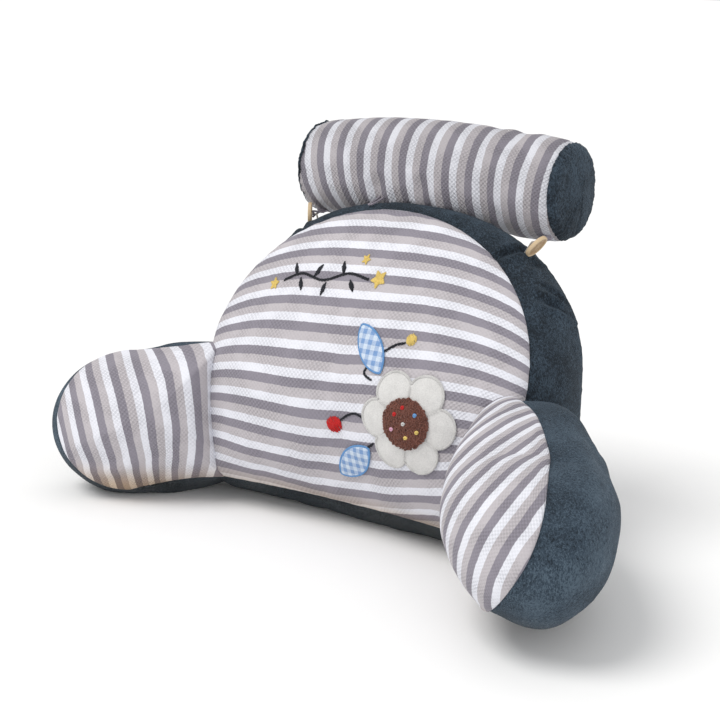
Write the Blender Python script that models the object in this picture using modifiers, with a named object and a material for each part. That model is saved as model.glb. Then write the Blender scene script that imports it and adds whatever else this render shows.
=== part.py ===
"""Reading pillow with arms: a stuffed wedge backrest, two stuffed arms and a stuffed head roll.

Frame: X to the viewer's right, +Y to the back, +Z up, metres. The origin is on the floor,
under the middle of the backrest. Run with blender --background --python part.py
"""

import math

import bmesh
import bpy
import numpy as np
from mathutils import Vector

# ---- Cloth and gaps -------------------------------------------------------------------
CLOTH = 0.0020                # thickness of a striped panel or an end disc
GAP = 0.0003                  # air between pieces that touch
SEAM_INSET = 0.9              # a panel's last ring stops this share of the way to its seam
FLOOR_CATCH = 0.0012          # a cushion's points lower than this lie on the floor

# ---- Backrest -------------------------------------------------------------------------
FOLD_TOP = (0.220, 0.203)     # x and z where an arm's top meets the front
FOLD_FOOT = (0.207, 0.031)
FOLD_BOW = 0.012              # how far the inner fold bows outwards at mid height
FRONT_Y = -0.070              # the front seam low down, where it stands upright
FLOOR_BOW = 0.018             # how far the seam at the floor bows back at its middle
LEAN = math.radians(26.1)     # of the front seam above the arms
LEAN_START_Z = 0.181
LEAN_SOFTNESS = 0.020
FRONT_RISE = 0.1775           # of the front arch above the folds
FRONT_SQUARENESS = 2.0        # exponent of the arch: 2 is an ellipse
BACK_FOOT = (0.226, 0.022)
BACK_SHOULDER = (0.226, 0.1985)
BACK_RISE = 0.187
BACK_SQUARENESS = 2.25
BACK_Y = 0.060
BACK_SHIFT = 0.007            # the back sits a little to the right of the front
FRONT_CENTRE_Z = 0.191
FRONT_CROWN = 0.048
FRONT_CROWN_TILT = math.radians(8)
BACK_CROWN = 0.020
CUSHION_FULLNESS = 0.6
GUSSET_BULGE = 0.09           # bulge of the side band, as a share of its width
FLOOR_BULGE = 0.22            # the same for the band under the cushion
FLOOR_SAG = 0.10              # and how much more at its middle, which lies flat on the floor

# ---- Arms -----------------------------------------------------------------------------
# flare turns an arm outwards and lean tips its inner face back, in degrees. reach, half,
# height, round, tip_out and curl shape the tip of that face's seam: how far out it is, half
# its height, its middle's height, how long it is drawn, how far it is pushed outwards, and
# its top more than that. The bows bend the seams' long edges up, outer_sag the outer seam's
# lower edge. crown, fullness, middle_out and middle_up shape the stuffed face, bulge and
# depth the band behind it, and outer_ sizes the face at the arm's outside.
ARM_SIZES = {
    "left": {
        "side": -1, "flare": 42.8, "lean": 16.0, "reach": 0.1991, "half": 0.0884,
        "height": 0.0962, "round": 1.009, "tip_out": 0.0219, "curl": 0.0, "top_bow": 0.0,
        "bottom_bow": 0.0041, "crown": 0.0660, "fullness": 0.50, "middle_out": 0.0,
        "middle_up": 0.0, "bulge": 0.240, "depth": 0.0607, "outer_lean": -5.9,
        "outer_reach": 0.1900, "outer_half": 0.0726, "outer_height": 0.0853,
        "outer_round": 1.306, "outer_bow": -0.0057, "outer_sag": 0.0, "outer_crown": 0.0200,
    },
    "right": {
        "side": +1, "flare": 64.5, "lean": 27.1, "reach": 0.2681, "half": 0.0866,
        "height": 0.1114, "round": 1.264, "tip_out": 0.0235, "curl": -0.0207, "top_bow": 0.0124,
        "bottom_bow": -0.0018, "crown": 0.0828, "fullness": 0.62, "middle_out": 0.0329,
        "middle_up": -0.0065, "bulge": 0.211, "depth": 0.0791, "outer_lean": 8.0,
        "outer_reach": 0.2383, "outer_half": 0.0586, "outer_height": 0.1054,
        "outer_round": 1.185, "outer_bow": 0.0131, "outer_sag": -0.0340, "outer_crown": 0.0307,
    },
}
ARM_TAPER = 0.072             # over this length from the backrest, the band bulges less
ARM_ROOT_TOP_Z = 0.152        # where an arm's outer top meets the backrest's back seam
ARM_ROOT_SINK = 0.012         # how deep the arm's root is drawn into the backrest

# ---- Head roll ------------------------------------------------------------------------
ROLL_CENTRE = Vector((-0.001, 0.112, 0.4160))
ROLL_RADIUS = 0.0580
ROLL_BARREL = 0.0060          # how much fatter the roll is at its middle
ROLL_LENGTH = 0.352           # between the two end seams
ROLL_DOME = 0.018
ROLL_DROOP = 0.006            # how far the ends hang below the middle

# ---- Fasteners: a wooden button sewn to the side band, held by a loop of the roll --------
BUTTON_RADIUS = 0.0150
BUTTON_THICKNESS = 0.0048
BUTTON_RIM = 0.0022           # width of the raised rim
BUTTON_DISH = 0.0010
SHANK_RADIUS = 0.0011         # the thread that holds a button
LOOP_RADIUS = 0.0013
LOOP_SPREAD = 0.0030          # half the distance between a loop's two strands
# height is of a button's middle above the side band, yaw and pitch the way its face looks,
# knee how far behind the button its thread turns towards the band.
FASTENER_COLUMNS = (
    "arch_deg", "share", "height", "yaw_deg", "pitch_deg", "knee", "roll_x", "roll_deg",
)
FASTENER_ROWS = {
    "left": (131.5, 0.97, 0.0154, 214, 0, 0.0058, -0.158, -119),
    "right": (47.5, 0.75, 0.0168, 0, -38, 0.0049, 0.166, -122),
}
MIDDLE_LOOP = {"arch_deg": 103, "share": 0.30, "roll_x": -0.048, "roll_deg": -164}

# ---- Patches on the front: a posy of felt, boucle and gingham ---------------------------
PATCH = 0.0014                # thickness of felt and gingham
PATCH_GAP = 0.0006
FLOWER_AT = (0.098, 0.165)    # x and z of its middle
FLOWER_RADIUS = 0.060
FLOWER_WAIST = 0.74           # radius between two petals, as a share
PETALS = 6
CENTRE_RADIUS = 0.028
CENTRE_THICKNESS = 0.0030
LEAF_COLUMNS = ("x", "z", "turn_deg", "half_length", "half_width")
LEAF_ROWS = {
    "patch_leaf_low": (0.020, 0.102, 222, 0.034, 0.0165),
    "patch_leaf_high": (0.036, 0.238, 130, 0.031, 0.0150),
}

# ---- Mesh density ---------------------------------------------------------------------
FOLD_STEPS = 8
ARCH_STEPS = 34
FLOOR_STEPS = 16
ARM_EDGE_STEPS = 5
ARM_TIP_STEPS = 16
ROLL_SIDES = 32
PATCH_SIDES = 24
SOFTENING = 40                # passes that round a cushion's inner rings off

# ---- Colours --------------------------------------------------------------------------
STRIPED = (0.62, 0.60, 0.62, 1.0)
PLUSH = (0.045, 0.075, 0.095, 1.0)
WOOD = (0.42, 0.27, 0.15, 1.0)
TAPE = (0.45, 0.43, 0.46, 1.0)
THREAD = (0.60, 0.57, 0.52, 1.0)
FELT = (0.80, 0.79, 0.76, 1.0)
BOUCLE = (0.080, 0.035, 0.022, 1.0)
GINGHAM = (0.20, 0.36, 0.60, 1.0)


def clear_scene():
    for item in list(bpy.data.objects):
        bpy.data.objects.remove(item, do_unlink=True)


def new_collection(name):
    collection = bpy.data.collections.new(name)
    bpy.context.scene.collection.children.link(collection)
    return collection


def new_material(name, colour, roughness):
    material = bpy.data.materials.new(name)
    material.use_nodes = True
    shader = material.node_tree.nodes["Principled BSDF"]
    shader.inputs["Base Color"].default_value = colour
    shader.inputs["Roughness"].default_value = roughness
    shader.inputs["Metallic"].default_value = 0.0
    material.diffuse_color = colour
    return material


# ---- Seams ----------------------------------------------------------------------------
def stretch(start, end, steps, bow=(0.0, 0.0, 0.0)):
    """Points from start towards end, without end, bowed sideways at the middle."""
    t = np.arange(steps)[:, None] / steps
    return (1 - t) * np.array(start) + t * np.array(end) + 4 * t * (1 - t) * np.array(bow)


def arch(shoulder, rise, squareness, steps):
    """x and z along an arch, from its right shoulder over the top to its left one."""
    angle = np.pi * np.arange(steps) / steps
    cos, sin = np.cos(angle), np.sin(angle)
    power = 2 / squareness
    x = shoulder[0] * np.sign(cos) * np.abs(cos) ** power
    return np.stack([x, shoulder[1] + rise * sin ** power], axis=1)


def front_depth(z):
    """y of the front seam at a height: upright low down, leaning back above."""
    soft = LEAN_SOFTNESS * np.logaddexp(0, (z - LEAN_START_Z) / LEAN_SOFTNESS)
    return FRONT_Y + math.tan(LEAN) * soft


def front_seam():
    """Closed seam of the backrest's front, anticlockwise for the viewer from the right foot."""
    (top_x, top_z), (foot_x, foot_z) = FOLD_TOP, FOLD_FOOT
    right = stretch((foot_x, 0, foot_z), (top_x, 0, top_z), FOLD_STEPS, (FOLD_BOW, 0, 0))
    over = arch(FOLD_TOP, FRONT_RISE, FRONT_SQUARENESS, ARCH_STEPS)
    over = np.insert(over, 1, 0.0, axis=1)
    left = stretch((-top_x, 0, top_z), (-foot_x, 0, foot_z), FOLD_STEPS, (-FOLD_BOW, 0, 0))
    floor = stretch((-foot_x, 0, foot_z), (foot_x, 0, foot_z), FLOOR_STEPS)
    for points in (right, over, left, floor):
        points[:, 1] = front_depth(points[:, 2])
    floor[:, 1] += FLOOR_BOW * (1 - (floor[:, 0] / foot_x) ** 2)
    return np.vstack([right, over, left, floor])


def back_seam():
    (top_x, top_z), (foot_x, foot_z) = BACK_SHOULDER, BACK_FOOT
    right = stretch((foot_x, 0, foot_z), (top_x, 0, top_z), FOLD_STEPS)
    over = arch(BACK_SHOULDER, BACK_RISE, BACK_SQUARENESS, ARCH_STEPS)
    over = np.insert(over, 1, 0.0, axis=1)
    left = stretch((-top_x, 0, top_z), (-foot_x, 0, foot_z), FOLD_STEPS)
    floor = stretch((-foot_x, 0, foot_z), (foot_x, 0, foot_z), FLOOR_STEPS)
    seam = np.vstack([right, over, left, floor])
    seam[:, 1] = BACK_Y
    seam[:, 0] += BACK_SHIFT
    return seam


# ---- Stuffed shapes -------------------------------------------------------------------
def softened(loop):
    """The closed loop with its corners rounded off by averaging neighbours."""
    for _ in range(SOFTENING):
        loop = 0.5 * loop + 0.25 * (np.roll(loop, 1, axis=0) + np.roll(loop, -1, axis=0))
    return loop


def cap_rings(seam, centre, normal, crown, fullness, count):
    """Rings of a stuffed face from its middle out to its seam, and the point at its middle."""
    centre, normal = np.array(centre), np.array(normal)
    round_seam = softened(seam)
    rings = []
    for share in np.sin(np.pi / 2 * np.arange(1, count + 1) / count):
        outline = share ** 2 * seam + (1 - share ** 2) * round_seam
        height = crown * (1 - share ** 2) ** fullness
        rings.append(centre + share * (outline - centre) + normal * height)
    return rings, centre + normal * crown


def gusset_rings(front, back, bulge, count):
    """Rings of the band between two seams, bulging outwards by a share of its width."""
    along = np.roll(front + back, -1, axis=0) - np.roll(front + back, 1, axis=0)
    across = back - front
    out = np.cross(across, along)
    out /= np.linalg.norm(out, axis=1, keepdims=True)
    swell = out * np.linalg.norm(across, axis=1, keepdims=True) * bulge
    rings = []
    for t in np.arange(1, count) / count:
        rings.append(front + t * across + swell * math.sin(math.pi * t))
    return rings


def lathe_mesh(name, rings, poles):
    """Mesh of rings with the same number of points each, closed by a pole at one or both ends."""
    bm = bmesh.new()
    rows = [[bm.verts.new(point) for point in ring] for ring in rings]
    sides = len(rows[0])
    for inner, outer in zip(rows, rows[1:]):
        for i in range(sides):
            j = (i + 1) % sides
            bm.faces.new((inner[i], outer[i], outer[j]))
            bm.faces.new((inner[i], outer[j], inner[j]))
    for pole, row in zip(poles, (rows[0], rows[-1])):
        tip = bm.verts.new(pole)
        for i in range(sides):
            bm.faces.new((tip, row[i], row[(i + 1) % sides]))
    bmesh.ops.recalc_face_normals(bm, faces=bm.faces)
    bm.normal_update()
    mesh = bpy.data.meshes.new(name)
    bm.to_mesh(mesh)
    bm.free()
    mesh.shade_smooth()
    return mesh


def grow(mesh, distances):
    """Moves each point along its normal by its own distance."""
    moves = [vertex.normal * distance for vertex, distance in zip(mesh.vertices, distances)]
    for vertex, move in zip(mesh.vertices, moves):
        vertex.co += move


def flatten_base(mesh):
    """What comes nearly down to the floor, or would sag below it, lies flat on it."""
    for vertex in mesh.vertices:
        if vertex.co.z < FLOOR_CATCH:
            vertex.co.z = 0.0


def add_object(name, mesh, collection, material=None):
    item = bpy.data.objects.new(name, mesh)
    collection.objects.link(item)
    if material:
        mesh.materials.append(material)
    return item


def cut_with(item, cutter):
    boolean = item.modifiers.new("clear_of_backrest", "BOOLEAN")
    boolean.operation = "DIFFERENCE"
    boolean.solver = "EXACT"
    boolean.object = cutter


def cloth_on(name, rings, pole, facing, collection, material):
    """A sheet of cloth of real thickness, lying a gap above the stuffed face given by its rings."""
    rim = rings[-2] + SEAM_INSET * (rings[-1] - rings[-2])
    rings = rings[:-1] + [rim]
    mesh = lathe_mesh(name, rings, [pole])
    if mesh.polygons[-1].normal.dot(Vector(facing)) < 0:
        mesh.flip_normals()
    grow(mesh, [GAP] * len(mesh.vertices))
    item = add_object(name, mesh, collection, material)
    solidify = item.modifiers.new("thickness", "SOLIDIFY")
    solidify.thickness = CLOTH
    solidify.offset = 1.0
    return item


# ---- Backrest -------------------------------------------------------------------------
def backrest_face():
    centre = (0.0, front_depth(FRONT_CENTRE_Z) + 0.25 * FLOOR_BOW, FRONT_CENTRE_Z)
    normal = (0.0, -math.cos(FRONT_CROWN_TILT), math.sin(FRONT_CROWN_TILT))
    return cap_rings(front_seam(), centre, normal, FRONT_CROWN, CUSHION_FULLNESS, 10)


def backrest_mesh(name):
    front, front_pole = backrest_face()
    seam = front_seam()
    bulge = np.full((len(seam), 1), GUSSET_BULGE)
    inwards = 1 - (seam[-FLOOR_STEPS:, :1] / FOLD_FOOT[0]) ** 2
    bulge[-FLOOR_STEPS:] = FLOOR_BULGE + FLOOR_SAG * inwards ** 2
    band = gusset_rings(seam, back_seam(), bulge, 6)
    centre = (BACK_SHIFT, BACK_Y, BACK_SHOULDER[1])
    back, back_pole = cap_rings(
        back_seam(), centre, (0.0, 1.0, 0.0), BACK_CROWN, CUSHION_FULLNESS, 6
    )
    mesh = lathe_mesh(name, front + band + back[::-1], [front_pole, back_pole])
    flatten_base(mesh)
    return mesh, len(front) * len(front_seam())


def build_backrest(collection, cutters, plush, striped):
    mesh, _ = backrest_mesh("backrest_cushion")
    add_object("backrest_cushion", mesh, collection, plush)
    rings, pole = backrest_face()
    cloth_on("backrest_front_panel", rings, pole, (0, -1, 0), collection, striped)
    # What lies against the backrest keeps clear of it, and of the cloth on its front.
    mesh, face_points = backrest_mesh("backrest_clearance")
    over_cloth = GAP + CLOTH + GAP
    count = len(mesh.vertices)
    distances = [over_cloth if i < face_points or i == count - 2 else GAP for i in range(count)]
    grow(mesh, distances)
    cutter = add_object("backrest_clearance", mesh, cutters)
    cutter.hide_render = True
    cutter.display_type = "WIRE"
    return cutter


# ---- Arms -----------------------------------------------------------------------------
class Arm:
    """One arm: the seams of its inner face and of its outer face, in world coordinates."""

    def __init__(self, size):
        self.size = size
        self.side = size["side"]
        flare = math.radians(size["flare"])
        self.along = np.array([self.side * math.cos(flare), -math.sin(flare), 0.0])
        self.outward = np.array([self.side * math.sin(flare), math.cos(flare), 0.0])
        fold_top, fold_foot = self.fold_point(FOLD_TOP), self.fold_point(FOLD_FOOT)
        self.start = (fold_top + fold_foot) / 2 * np.array([1, 1, 0])
        up, self.facing = self.tilted(size["lean"])
        self.facing = -self.facing
        tip = self.tip(size["reach"], size["half"] * size["round"], size["tip_out"])
        tip[2] = size["height"]
        half = size["half"] * np.array([size["round"], 1.0])
        bows = FOLD_BOW, size["top_bow"], size["bottom_bow"]
        self.inner = self.outline(fold_foot, fold_top, tip, half, up, bows, size["curl"])
        up, self.outer_facing = self.tilted(size["outer_lean"])
        out = size["tip_out"] + size["depth"]
        tip = self.tip(size["outer_reach"], size["outer_half"] * size["outer_round"], out)
        tip[2] = size["outer_height"]
        half = size["outer_half"] * np.array([size["outer_round"], 1.0])
        root_foot = np.array([self.side * BACK_FOOT[0], BACK_Y, BACK_FOOT[1]])
        root_top = np.array([self.side * BACK_SHOULDER[0], BACK_Y, ARM_ROOT_TOP_Z])
        bows = 0.0, size["outer_bow"], size["outer_sag"]
        self.outer = self.outline(root_foot, root_top, tip, half, up, bows, 0.0)

    def fold_point(self, place):
        return np.array([self.side * place[0], front_depth(place[1]), place[1]])

    def tilted(self, degrees):
        """The upward and the outward direction of a face that leans back by that much."""
        lean, up = math.radians(degrees), np.array([0.0, 0.0, 1.0])
        return (
            up * math.cos(lean) + self.outward * math.sin(lean),
            self.outward * math.cos(lean) - up * math.sin(lean),
        )

    def tip(self, reach, half_length, out):
        return self.start + self.along * (reach - half_length) + self.outward * out

    def outline(self, foot, top, tip, half, up, bows, curl):
        """Closed seam: out along the bottom, round the tip, back along the top, down the root."""
        fold_bow, top_bow, bottom_bow = bows
        sink = np.array([-self.side * ARM_ROOT_SINK, 0.0, 0.0])
        angle = np.linspace(-np.pi / 2, np.pi / 2, ARM_TIP_STEPS)[:, None]
        cos, sin = np.cos(angle), np.sin(angle)
        round_tip = tip + half[0] * cos * self.along + half[1] * sin * up
        round_tip += curl * np.maximum(sin, 0) ** 2 * self.outward
        bottom = stretch(foot + sink, round_tip[0], ARM_EDGE_STEPS, up * bottom_bow)
        back = stretch(round_tip[-1], top + sink, ARM_EDGE_STEPS + 1, up * top_bow)[1:]
        root = stretch(top + sink, foot + sink, FOLD_STEPS, (self.side * fold_bow, 0, 0))
        return np.vstack([bottom, round_tip, back, root])

    def face(self):
        size = self.size
        centre = self.inner.mean(axis=0) + self.along * size["middle_out"]
        centre[2] += size["middle_up"]
        return cap_rings(self.inner, centre, self.facing, size["crown"], size["fullness"], 8)

    def mesh(self, name):
        size = self.size
        front, front_pole = self.face()
        out = np.clip((self.inner - self.start) @ self.along / ARM_TAPER, 0, 1)[:, None]
        bulge = self.side * size["bulge"] * np.sqrt(out)
        band = gusset_rings(self.inner, self.outer, bulge, 5)
        centre = self.outer.mean(axis=0)
        back, back_pole = cap_rings(
            self.outer, centre, self.outer_facing, size["outer_crown"], CUSHION_FULLNESS, 5
        )
        mesh = lathe_mesh(name, front + band + back[::-1], [front_pole, back_pole])
        flatten_base(mesh)
        return mesh


def build_arm(name, size, cutter, collection, plush, striped):
    arm = Arm(size)
    cushion = add_object(f"arm_{name}_cushion", arm.mesh(f"arm_{name}_cushion"), collection, plush)
    cut_with(cushion, cutter)
    rings, pole = arm.face()
    panel = cloth_on(f"arm_{name}_panel", rings, pole, arm.facing, collection, striped)
    cut_with(panel, cutter)


# ---- Head roll ------------------------------------------------------------------------
def roll_ring(x, radius):
    angle = 2 * np.pi * np.arange(ROLL_SIDES) / ROLL_SIDES
    outwards = min(2 * abs(x) / ROLL_LENGTH, 1.0) ** 2
    droop = -ROLL_DROOP * outwards
    radius = radius + ROLL_BARREL * (1 - outwards)
    ring = np.stack([np.full(ROLL_SIDES, x), radius * np.cos(angle), radius * np.sin(angle)], 1)
    return ring + np.array(ROLL_CENTRE) + np.array([0, 0, droop])


def roll_end(side):
    """Rings of one domed end, from its middle out to its seam."""
    rings = []
    for share in np.sin(np.pi / 2 * np.arange(1, 5) / 4):
        dome = ROLL_DOME * (1 - share ** 2) ** 0.6
        rings.append(roll_ring(side * (ROLL_LENGTH / 2 + dome), ROLL_RADIUS * share))
    pole = roll_ring(side * (ROLL_LENGTH / 2 + ROLL_DOME), 0.0)[0]
    return rings, pole


def build_roll(cutter, collection, plush, striped):
    left, left_pole = roll_end(-1)
    right, right_pole = roll_end(+1)
    middle = [roll_ring(x, ROLL_RADIUS) for x in np.linspace(-0.5, 0.5, 15)[1:-1] * ROLL_LENGTH]
    mesh = lathe_mesh("head_roll", left + middle + right[::-1], [left_pole, right_pole])
    cut_with(add_object("head_roll", mesh, collection, striped), cutter)
    for name, side in (("left", -1), ("right", +1)):
        rings, pole = roll_end(side)
        disc = cloth_on(f"roll_end_{name}", rings, pole, (side, 0, 0), collection, plush)
        cut_with(disc, cutter)


# ---- Fasteners ------------------------------------------------------------------------
def band_place(arch_deg, share):
    """A point of the side band and the way it faces there."""
    def seams(angle):
        cos, sin = math.cos(angle), math.sin(angle)
        z = FOLD_TOP[1] + FRONT_RISE * sin ** (2 / FRONT_SQUARENESS)
        x = math.copysign(FOLD_TOP[0] * abs(cos) ** (2 / FRONT_SQUARENESS), cos)
        front = Vector((x, front_depth(z), z))
        z = BACK_SHOULDER[1] + BACK_RISE * sin ** (2 / BACK_SQUARENESS)
        x = math.copysign(BACK_SHOULDER[0] * abs(cos) ** (2 / BACK_SQUARENESS), cos)
        return front, Vector((x + BACK_SHIFT, BACK_Y, z))

    angle, step = math.radians(arch_deg), 0.01
    front, back = seams(angle)
    ahead, behind = sum(seams(angle + step), Vector()), sum(seams(angle - step), Vector())
    out = (back - front).cross(ahead - behind).normalized()
    swell = (back - front).length * GUSSET_BULGE * math.sin(math.pi * share)
    return front.lerp(back, share) + out * swell, out


def roll_place(x, angle_deg):
    """A point of the roll's side and the way it faces there."""
    angle = math.radians(angle_deg)
    out = Vector((0, math.cos(angle), math.sin(angle)))
    outwards = (2 * x / ROLL_LENGTH) ** 2
    axis = ROLL_CENTRE + Vector((x, 0, -ROLL_DROOP * outwards))
    return axis + out * (ROLL_RADIUS + ROLL_BARREL * (1 - outwards)), out


def add_tube(name, points, radius, collection, material):
    curve = bpy.data.curves.new(name, "CURVE")
    curve.dimensions = "3D"
    spline = curve.splines.new("POLY")
    spline.points.add(len(points) - 1)
    for point, place in zip(spline.points, points):
        point.co = (*place, 1.0)
    curve.bevel_depth = radius
    curve.bevel_resolution = 2
    curve.use_fill_caps = True
    curve.materials.append(material)
    item = bpy.data.objects.new(name, curve)
    collection.objects.link(item)
    return item


def smooth_route(points, steps):
    """Points along a rounded line through the given ones."""
    ends = [points[0] * 2 - points[1], *points, points[-1] * 2 - points[-2]]
    route = []
    for a, b, c, d in zip(ends, ends[1:], ends[2:], ends[3:]):
        for i in range(steps):
            t = i / steps
            bend = (2 * a - 5 * b + 4 * c - d) * t ** 2 + (3 * b - a - 3 * c + d) * t ** 3
            route.append((2 * b + (c - a) * t + bend) / 2)
    return route + [points[-1]]


def add_loop(name, roll_x, roll_deg, hold, normal, collection, tape):
    """A loop out of the roll, lying flat under a normal round the point it holds, and back."""
    reach = hold - roll_place(roll_x, roll_deg)[0]
    toward = (reach - normal * reach.dot(normal)).normalized()
    across = normal.cross(toward)
    if across.x < 0:
        across = -across
    strands = []
    for side in (1, -1):
        start, out = roll_place(roll_x + side * LOOP_SPREAD, roll_deg)
        near = hold + across * side * LOOP_SPREAD - toward * LOOP_SPREAD
        rise = [start + out * (GAP + share * LOOP_RADIUS) for share in (0.0, 1.5, 3.0)]
        strands.append([*rise, near])
    turn = []
    for degrees in (30, 90, 150):
        angle = math.radians(degrees)
        turn.append(hold + (across * math.cos(angle) + toward * math.sin(angle)) * LOOP_SPREAD)
    route = smooth_route(strands[0] + turn + strands[1][::-1], 2)
    add_tube(name, route, LOOP_RADIUS, collection, tape)


def nearest_on_band(place, arch_deg):
    """The side band's point that is nearest to a place, and the way it faces there."""
    turns = np.linspace(arch_deg - 8, arch_deg + 8, 33)
    spots = [band_place(turn, share) for turn in turns for share in np.linspace(0.3, 0.95, 27)]
    return min(spots, key=lambda spot: (spot[0] - place).length)


def button_mesh(name):
    """A dished disc with a raised rim: its profile turned round Z, its face upwards."""
    half, rim = BUTTON_THICKNESS / 2, BUTTON_RADIUS - BUTTON_RIM
    round_off = 0.0008
    profile = [
        (0.0, half - BUTTON_DISH), (rim, half - BUTTON_DISH), (rim + round_off, half),
        (BUTTON_RADIUS - round_off, half), (BUTTON_RADIUS, half - round_off),
        (BUTTON_RADIUS, -half + round_off), (BUTTON_RADIUS - round_off, -half), (0.0, -half),
    ]
    bm = bmesh.new()
    points = [bm.verts.new((x, 0, z)) for x, z in profile]
    edges = [bm.edges.new(pair) for pair in zip(points, points[1:])]
    bmesh.ops.spin(
        bm, geom=points + edges, cent=(0, 0, 0), axis=(0, 0, 1), angle=2 * math.pi, steps=28,
        use_merge=True,
    )
    bmesh.ops.remove_doubles(bm, verts=bm.verts, dist=1e-6)
    bmesh.ops.recalc_face_normals(bm, faces=bm.faces)
    mesh = bpy.data.meshes.new(name)
    bm.to_mesh(mesh)
    bm.free()
    mesh.shade_smooth()
    mesh.set_sharp_from_angle(angle=math.radians(30))
    return mesh


def build_fastener(name, size, collection, wood, tape, thread):
    ground, up = band_place(size["arch_deg"], size["share"])
    yaw, pitch = math.radians(size["yaw_deg"]), math.radians(size["pitch_deg"])
    facing = Vector((math.cos(yaw), math.sin(yaw), 0)) * math.cos(pitch)
    facing.z = math.sin(pitch)
    middle = ground + up * size["height"]
    button = add_object(f"button_{name}", button_mesh(f"button_{name}"), collection, wood)
    button.rotation_euler = facing.to_track_quat("Z", "Y").to_euler()
    button.location = middle
    behind = middle - facing * (BUTTON_THICKNESS / 2)
    knee = behind - facing * size["knee"]
    foot, out = nearest_on_band(knee, size["arch_deg"])
    shank = [behind - facing * GAP, knee, foot.lerp(knee, 0.3), foot + out * GAP]
    add_tube(f"shank_{name}", smooth_route(shank, 3), SHANK_RADIUS, collection, thread)
    hold = behind - facing * (LOOP_RADIUS + 3 * GAP)
    add_loop(f"loop_{name}", size["roll_x"], size["roll_deg"], hold, facing, collection, tape)


def build_middle_loop(collection, tape):
    size = MIDDLE_LOOP
    hold, up = band_place(size["arch_deg"], size["share"])
    hold += up * (LOOP_RADIUS + 3 * GAP)
    add_loop("loop_middle", size["roll_x"], size["roll_deg"], hold, up, collection, tape)


# ---- Patches --------------------------------------------------------------------------
def patch_on(name, outline, thickness, gap, base, collection, material):
    """A flat cut piece, given by its outline round a middle, laid on the cloth behind it."""
    middle = outline.mean(axis=0)
    rings = [middle + share * (outline - middle) for share in (0.33, 0.67, 1.0)]
    mesh = lathe_mesh(name, rings, [middle])
    if mesh.polygons[-1].normal.y > 0:
        mesh.flip_normals()
    item = add_object(name, mesh, collection, material)
    lie = item.modifiers.new("lie_on_cloth", "SHRINKWRAP")
    lie.target = base
    lie.wrap_method = "PROJECT"
    lie.use_project_y = True
    lie.use_positive_direction = True
    lie.use_negative_direction = False
    lie.offset = gap
    solidify = item.modifiers.new("thickness", "SOLIDIFY")
    solidify.thickness = thickness
    solidify.offset = 1.0
    return item


def flat_outline(x, z):
    """Points in a vertical plane ahead of the pillow."""
    return np.stack([x, np.full(len(x), FRONT_Y - 0.1), z], axis=1)


def flower_outline():
    angle = 2 * np.pi * np.arange(PETALS * 8) / (PETALS * 8)
    petal = np.abs(np.cos(PETALS * angle / 2)) ** 0.7
    radius = FLOWER_RADIUS * (FLOWER_WAIST + (1 - FLOWER_WAIST) * petal)
    return flat_outline(
        FLOWER_AT[0] + radius * np.cos(angle), FLOWER_AT[1] + radius * np.sin(angle)
    )


def disc_outline(radius):
    angle = 2 * np.pi * np.arange(PATCH_SIDES) / PATCH_SIDES
    return flat_outline(
        FLOWER_AT[0] + radius * np.cos(angle), FLOWER_AT[1] + radius * np.sin(angle)
    )


def leaf_outline(x, z, turn_deg, half_length, half_width):
    """A pointed oval, its length along the given turn."""
    angle = 2 * np.pi * np.arange(PATCH_SIDES) / PATCH_SIDES
    along = half_length * np.cos(angle)
    across = half_width * np.sin(angle) * np.abs(np.sin(angle)) ** 0.5
    turn = math.radians(turn_deg)
    cos, sin = math.cos(turn), math.sin(turn)
    return flat_outline(x + along * cos - across * sin, z + along * sin + across * cos)


def build_patches(base, collection):
    felt = new_material("white_felt", FELT, 0.95)
    boucle = new_material("brown_boucle", BOUCLE, 1.0)
    gingham = new_material("blue_gingham", GINGHAM, 0.9)
    flower = patch_on(
        "patch_flower", flower_outline(), PATCH, PATCH_GAP, base, collection, felt
    )
    centre = disc_outline(CENTRE_RADIUS)
    patch_on(
        "patch_flower_centre", centre, CENTRE_THICKNESS, PATCH_GAP, flower, collection, boucle
    )
    for name, row in LEAF_ROWS.items():
        leaf = leaf_outline(**dict(zip(LEAF_COLUMNS, row)))
        patch_on(name, leaf, PATCH, PATCH_GAP, base, collection, gingham)


def main():
    clear_scene()
    collection = new_collection("reading_pillow_with_arms")
    cutters = new_collection("cutters")
    striped = new_material("striped_waffle_cloth", STRIPED, 0.95)
    plush = new_material("slate_plush", PLUSH, 0.85)
    cutter = build_backrest(collection, cutters, plush, striped)
    for name, size in ARM_SIZES.items():
        build_arm(name, size, cutter, collection, plush, striped)
    build_roll(cutter, collection, plush, striped)
    wood = new_material("turned_wood", WOOD, 0.55)
    tape = new_material("loop_tape", TAPE, 0.95)
    thread = new_material("thread", THREAD, 0.9)
    for name, row in FASTENER_ROWS.items():
        size = dict(zip(FASTENER_COLUMNS, row))
        build_fastener(name, size, collection, wood, tape, thread)
    build_middle_loop(collection, tape)
    build_patches(bpy.data.objects["backrest_front_panel"], collection)


main()
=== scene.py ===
"""Looks of the reading pillow with arms: striped cloth, slate plush, felt posy and stitches.

Metres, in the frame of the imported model: X to the viewer's right, +Y to the back, +Z up.
"""

import math

import bmesh
import bpy
import numpy as np
from mathutils import Matrix, Vector, noise
from mathutils.bvhtree import BVHTree


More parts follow.
